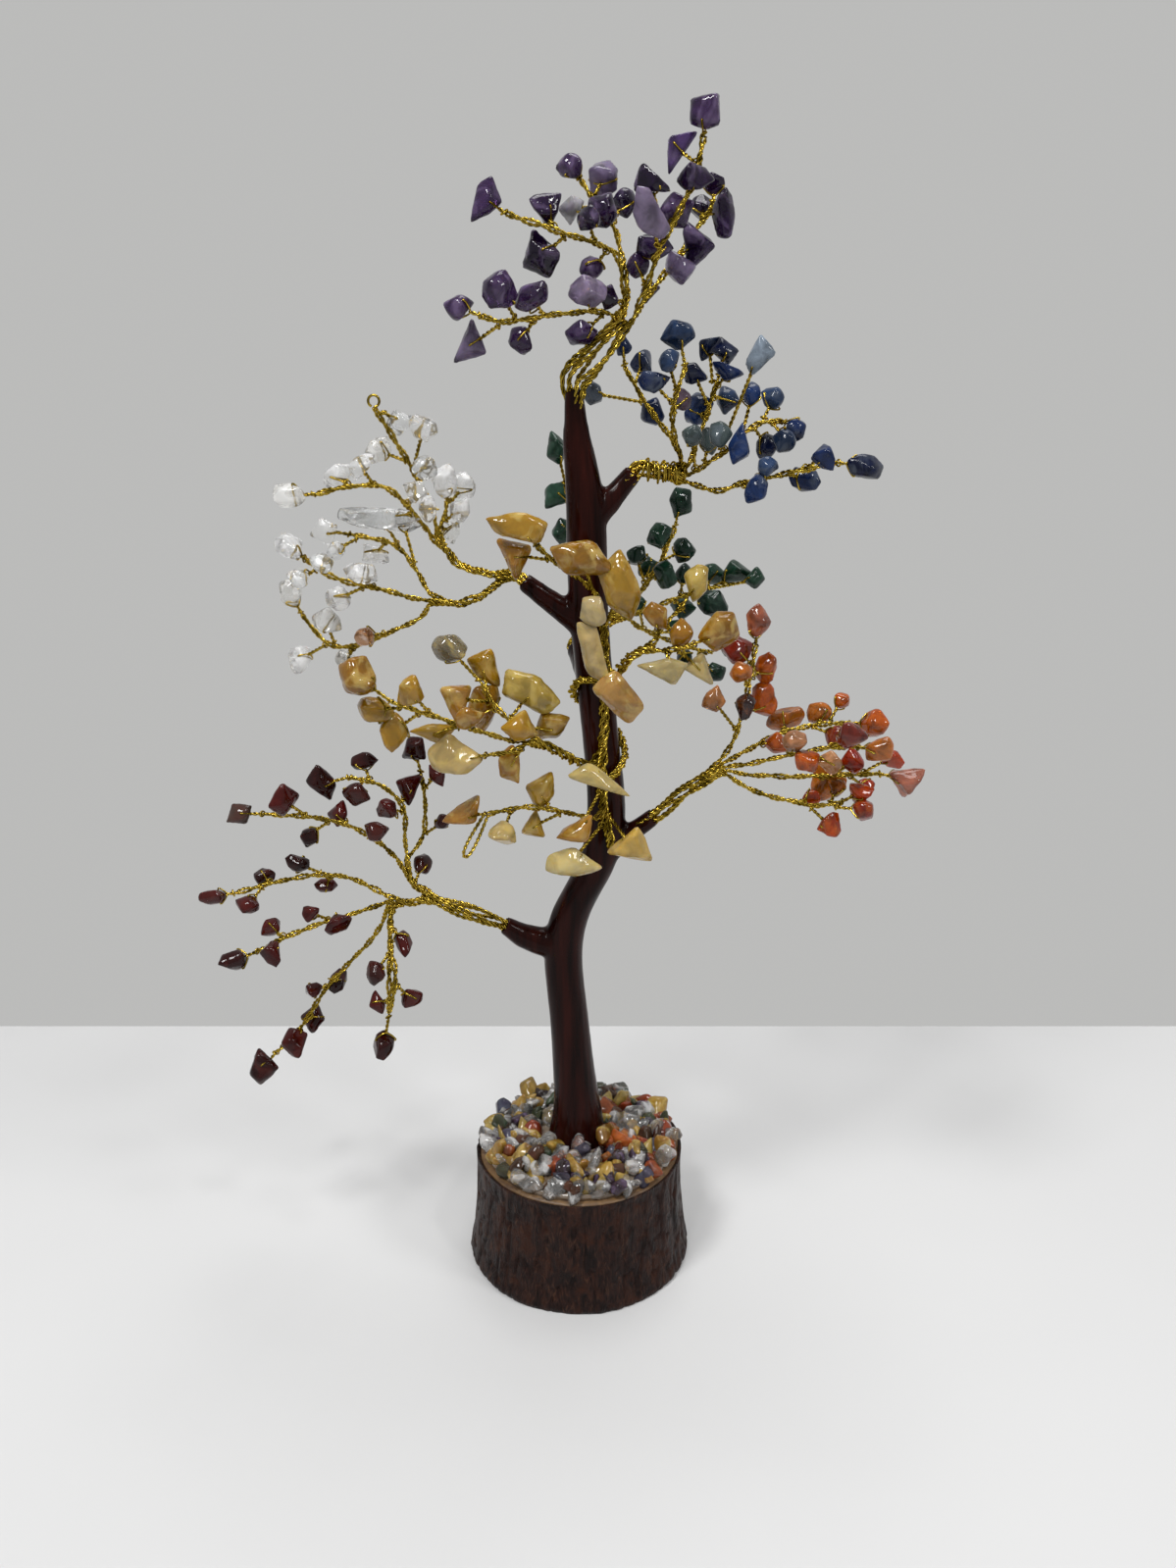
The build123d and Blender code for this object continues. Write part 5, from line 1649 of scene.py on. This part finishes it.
    def lathe(self, profile: list[tuple[float, float]], shift: Callable[[float, float, float], float],
              name: str, finish: bpy.types.Material, slot: str, node: str) -> None:
        """Turns a closed profile round the log's axis, with each point shifted out or in.

        Args:
            profile: Radius and height pairs, closed from last to first.
            shift: Gives the shift out for an angle, a radius and a height.
            name: The piece's name.
            finish: Its finish.
            slot: The record's material slot.
            node: The node that it stands for.
        """
        rows = len(profile)
        points = []
        for i in range(self.around):
            angle = 2 * pi * i / self.around
            for radius, height in profile:
                r = radius + shift(angle, radius, height)
                points.append((r * cos(angle), r * sin(angle), height))
        faces = []
        for i in range(self.around):
            j = (i + 1) % self.around
            for k in range(rows):
                m = (k + 1) % rows
                faces.append([i * rows + k, j * rows + k, j * rows + m, i * rows + m])
        parts = MeshParts()
        parts.add(np.array(points), faces)
        stands_for(parts.piece(name, finish, slot), node)

    def groove(self, angle: float, radius: float, height: float) -> float:
        """How far the bark's surface lies inside its full radius.

        Args:
            angle: Where round the log.
            radius: The full radius there.
            height: The height over the foot.

        Returns:
            The depth, as a negative shift.
        """
        kinds = (self.strands, self.hollows, self.chewed, self.cracks)
        strand, hollow, chewed, crack = (kind.at(angle, radius, height) for kind in kinds)
        depth = self.strand_mm * (0.5 + 0.5 * strand) + self.hollow_mm * (0.5 + 0.5 * hollow)
        depth += self.chewed_mm * max(0.0, chewed - self.chewed_from)
        depth += self.crack_mm * max(0.0, 1 - abs(crack) / self.crack_wide)
        at_rim = self.top_fade * (height / self.height) ** 6
        at_foot = self.foot_fade * (1 - min(1.0, height / self.foot_fade_high))
        return -(1 - at_rim) * (1 - at_foot) * min(self.groove_most, depth)

    def bark(self, finish: bpy.types.Material) -> None:
        """Makes the bark: grooved outside, with a worn lip.

        Args:
            finish: The bark's finish.
        """
        outside = [(self.radius(self.height * k / self.upward), self.height * k / self.upward)
                   for k in range(self.upward + 1)]
        lip = self.radius(self.height) - self.bark_top
        inside = [(lip - self.lip_in, self.height - self.lip_down),
                  (self.foot_radius - self.foot_in, self.foot_up)]

        def shift(angle: float, radius: float, height: float) -> float:
            """Grooves on the outside, none on the inside."""
            inner = radius < self.radius(height) - self.skin_mm
            return 0.0 if inner else self.groove(angle, radius, height)

        self.lathe(outside + inside, shift, "log_bark", finish, "bark", "bark_ring")

    def core(self, finish: bpy.types.Material) -> None:
        """Makes the wood inside the bark, whose cut edge shows round the bed.

        Args:
            finish: The cut wood's finish.
        """
        rim = self.radius(self.height) - self.bark_top
        levels = [self.height * share for share in (0.0, 0.25, 0.5, 0.75)]
        side = [(self.radius(level) - self.bark_side, level) for level in levels]
        inwards, down = self.saw_round
        profile = [(self.axis_mm, 0.0), *side, (rim - 0.1, self.height - down), (rim - inwards, self.height),
                   (self.bed_radius - self.under_bed, self.height), (self.axis_mm, self.height)]

        def shift(angle: float, radius: float, height: float) -> float:
            """A slightly uneven rim."""
            at = np.array([cos(angle), sin(angle), 0.0]) * radius
            return self.saw_uneven * rough(at, 4.0) if radius > 1 else 0.0

        self.lathe(profile, shift, "log_wood_core", finish, "log_wood", "base_log")

    def bed(self, finish: bpy.types.Material) -> None:
        """Makes the poured bed, heaped a little round the trunk.

        Args:
            finish: The resin's finish.
        """
        foot = self.height - self.bed_sunk
        profile = [(self.axis_mm, foot), (self.bed_radius, foot)]
        for k in range(self.bed_steps + 1):
            radius = self.bed_radius * (1 - k / self.bed_steps) + self.axis_mm
            profile.append((radius, self.height + self.bed_proud + self.mound(radius) * self.bed_share))

        def shift(angle: float, radius: float, height: float) -> float:
            """A slightly uneven edge."""
            at = np.array([cos(angle), sin(angle), height]) * 6.0
            return self.bed_uneven * rough(at, 4.0) if radius > 1 else 0.0

        self.lathe(profile, shift, "log_resin_bed", finish, "resin", "resin_bed")

    def mound(self, radius: float) -> float:
        """How high the heap stands over the log at a radius."""
        share = max(0.0, 1 - radius / self.bed_radius)
        return self.bed_top - self.height + self.heap_mm * share

    def chips(self, polishes: dict[Gem, bpy.types.Material]) -> None:
        """Makes the chips of each colour, the larger ones from the frame and small ones between them.

        Args:
            polishes: The stones' finishes.
        """
        for order, (name, (gem, share, home)) in enumerate(BED_CHIPS.items()):
            draw = Random(BED_SEED + order)
            node = f"base_chips_{name}"
            finish = STONES[gem]
            parts = MeshParts()
            shapes = FrameSolids(node).corners()
            shapes += [self.small_chip(draw, home) for _ in range(int(self.gravel * share))]
            if gem is Gem.QUARTZ:
                spot = np.array(self.front_chip) + (0.0, 0.0, self.height)
                shapes.append(self.chip_at(draw, spot, self.front_chip_mm))
            for number, corners in enumerate(shapes):
                tint = varied(draw.choice(finish.tints), draw, 0.2)
                tint = tuple(c + (d - c) * self.dust for c, d in zip(tint, self.dust_tint))
                seed = BED_CHIP_SEED + order * BED_SEED_STEP + number
                TumbledChip(corners, finish, seed).wear(parts, tint)
            stands_for(parts.piece(f"log_chips_{name}", polishes[gem], finish.slot), node)

    def small_chip(self, draw: Random, home: float | None) -> np.ndarray:
        """The corners of a small chip somewhere on the bed.

        Args:
            draw: The source of chance.
            home: The angle that its colour gathers at, if it does.

        Returns:
            Corner points in millimetres.
        """
        radius = sqrt(draw.uniform(self.trunk_clear**2, (self.bed_radius + 0.1) ** 2))
        angle = draw.uniform(0, 2 * pi) if home is None else draw.gauss(home, 1.0)
        size = draw.uniform(self.gravel_low, self.gravel_high)
        lift = self.height + self.mound(radius) * draw.uniform(*self.gravel_level) + self.gravel_up * size
        return self.chip_at(draw, np.array([radius * cos(angle), radius * sin(angle), lift]), size)

    def chip_at(self, draw: Random, centre: np.ndarray, size: float) -> np.ndarray:
        """The corners of a chip of a size at a place.

        Args:
            draw: The source of chance.
            centre: Its middle.
            size: Its length.

        Returns:
            Corner points in millimetres.
        """
        first, other, _ = (random_way(draw) for _ in range(3))
        second = unit(np.cross(first, other))
        third = np.cross(first, second)
        long, wide, thick = self.chip_shape
        corners = []
        for _ in range(self.chip_corners):
            way = random_way(draw)
            out = first * way[0] * long + second * way[1] * wide + third * way[2] * thick
            corners.append(centre + out * size)
        return np.array(corners)


# The lamps: name, place in metres, side in metres, watts
LAMPS: tuple[tuple[str, tuple[float, float, float], float, float], ...] = (
    ("key_lamp", (-0.34, -0.36, 0.9), 0.2, 4.8),
    ("side_lamp", (0.6, -0.34, 0.62), 0.18, 1.8),
    ("top_lamp", (0.08, 0.26, 0.95), 0.4, 2.4),
    ("glint_lamp_left", (-0.2, -0.55, 0.75), 0.08, 0.9),
    ("glint_lamp_right", (0.32, -0.34, 0.85), 0.08, 0.9),
)


@dataclass
class Studio:
    """The pale floor, the soft lamps, the world and the camera.

    Attributes:
        floor_ahead: How far the floor reaches towards the viewer, in metres.
        floor_behind: How far it reaches behind the trunk.
        floor_aside: How far it reaches to each side.
        floor_tone: Its grey.
        wall_tone: The grey seen past it.
        ambient: The strength of light from all round.
        aim: The height on the tree that the lamps face, in metres.
    """

    floor_ahead: float = 1.6
    floor_behind: float = 0.106
    floor_aside: float = 2.0
    floor_tone: float = 0.64
    wall_tone: float = 0.5
    ambient: float = 0.36
    aim: float = 0.14

    def build(self) -> None:
        """Sets the studio up."""
        self.floor()
        self.world()
        for lamp in LAMPS:
            self.lamp(*lamp)
        self.camera()
        bpy.context.scene.view_settings.view_transform = "Standard"

    def floor(self) -> None:
        """Makes the floor."""
        ahead, behind, aside = -self.floor_ahead, self.floor_behind, self.floor_aside
        mesh = bpy.data.meshes.new("floor")
        corners = [(-aside, ahead, 0), (aside, ahead, 0), (aside, behind, 0), (-aside, behind, 0)]
        mesh.from_pydata(corners, [], [[0, 1, 2, 3]])
        shader = Shader("floor_pale")
        cloud = shader.clouds(60.0, 2.0)
        tone = self.floor_tone
        colour = shader.ramp(cloud, (0.3, (tone * 0.985,) * 3), (0.7, (tone, tone, tone)))
        mesh.materials.append(shader.surface(Base_Color=colour, Roughness=0.55))
        made = bpy.data.objects.new("floor", mesh)
        bpy.context.scene.collection.objects.link(made)

    def world(self) -> None:
        """Lights the object evenly from all round, and shows a pale grey wall behind it."""
        world = bpy.data.worlds.new("studio")
        bpy.context.scene.world = world
        world.use_nodes = True
        tree = world.node_tree
        tree.nodes.clear()
        path = add_node(tree, "ShaderNodeLightPath")
        seen = path.outputs["Is Camera Ray"]
        for name in ("Is Glossy Ray", "Is Transmission Ray"):
            either = add_node(tree, "ShaderNodeMath")
            either.operation = "MAXIMUM"
            tree.links.new(seen, either.inputs[0])
            tree.links.new(path.outputs[name], either.inputs[1])
            seen = either.outputs[0]
        grey = (self.wall_tone, self.wall_tone, self.wall_tone * 0.985, 1.0)
        light = add_node(tree, "ShaderNodeBackground", Color=(1.0, 1.0, 1.0, 1.0), Strength=self.ambient)
        wall = add_node(tree, "ShaderNodeBackground", Color=grey)
        choice = add_node(tree, "ShaderNodeMixShader", Fac=seen)
        tree.links.new(light.outputs[0], choice.inputs[1])
        tree.links.new(wall.outputs[0], choice.inputs[2])
        add_node(tree, "ShaderNodeOutputWorld", Surface=choice.outputs[0])

    def lamp(self, name: str, place: tuple[float, float, float], size: float, watts: float) -> None:
        """Makes a soft square lamp that faces the tree.

        Args:
            name: The lamp's name.
            place: Where it stands, in metres.
            size: Its side.
            watts: Its power.
        """
        data = bpy.data.lights.new(name, "AREA")
        data.size = size
        data.energy = watts
        made = bpy.data.objects.new(name, data)
        made.location = place
        facing = Vector((0.0, 0.0, self.aim)) - Vector(place)
        made.rotation_euler = facing.to_track_quat("-Z", "Y").to_euler()
        bpy.context.scene.collection.objects.link(made)

    def camera(self) -> None:
        """Stands the camera where the photograph was taken."""
        data = bpy.data.cameras.new("camera")
        data.sensor_fit = "VERTICAL"
        data.sensor_height = SENSOR_HEIGHT
        data.lens = LENS
        data.clip_start = 0.01
        made = bpy.data.objects.new("camera", data)
        made.location = tuple(EYE * MM)
        made.rotation_euler = (radians(90 - PITCH_DOWN), 0.0, 0.0)
        bpy.context.scene.collection.objects.link(made)
        bpy.context.scene.camera = made


# How near to a root a bend lies that belongs to it, in millimetres, and how far back a spray leaves the spine
ROOT_REACH = 4.0
SPINE_BACK = (7, 3)


def leads() -> dict[str, Line]:
    """The lines that the sprays' wires come out of, from a root's inner end or the spine to the bend.

    Returns:
        A line for each spray's body name.
    """
    roots = FrameSolids("wire_roots").centre_lines(np.zeros(3))
    spine = evenly(FrameSolids("yellow_spine").centre_lines(HIGH)[0][0], 1.0)
    found = {}
    for joint in frame["joints"]:
        bend = np.array(joint["pos_m"]) / MM
        line = min((r[0] for r in roots), key=lambda r: float(np.linalg.norm(r - bend, axis=1).min()))
        if np.linalg.norm(line - bend, axis=1).min() < ROOT_REACH:
            found[joint["child"]] = np.array([line[0], bend])
        else:
            nearest = int(np.linalg.norm(spine - bend, axis=1).argmin())
            back = [spine[max(nearest - steps, 0)] for steps in SPINE_BACK]
            found[joint["child"]] = np.array([*back, (back[1] + bend) / 2, bend])
    return found


SPRAYS: tuple[tuple[str, Gem, bool], ...] = (
    ("amethyst", Gem.AMETHYST, True),
    ("lapis", Gem.LAPIS, True),
    ("quartz", Gem.QUARTZ, True),
    ("carnelian", Gem.CARNELIAN, True),
    ("garnet", Gem.GARNET, True),
    ("green", Gem.AVENTURINE, True),
    ("yellow_left", Gem.YELLOW, True),
    ("yellow_low", Gem.YELLOW, False),
    ("yellow_right", Gem.YELLOW, True),
    ("yellow_front", Gem.YELLOW, False),
)


def main() -> None:
    """Builds every sub-assembly in order."""
    logging.basicConfig(level=logging.INFO, format="%(name)s %(message)s")
    polishes = {gem: finish.material() for gem, finish in STONES.items()}
    wire = WireFinish().material()
    LogSlice().build(BarkFinish().material(), CutWoodFinish().material(), ResinFinish().material(), polishes)
    Trunk(LacquerFinish().material(), wire).build()
    lines = leads()
    for seed, (name, gem, bundle) in enumerate(SPRAYS, start=1):
        body = f"{name}_bough" if f"{name}_bough" in lines else STAND
        lead = lines.get(body, np.zeros((0, 3)))
        Spray(name, gem, body, wire, seed, bundle, lead).build(polishes[gem])
    Studio().build()


if __name__ == "__main__":
    main()
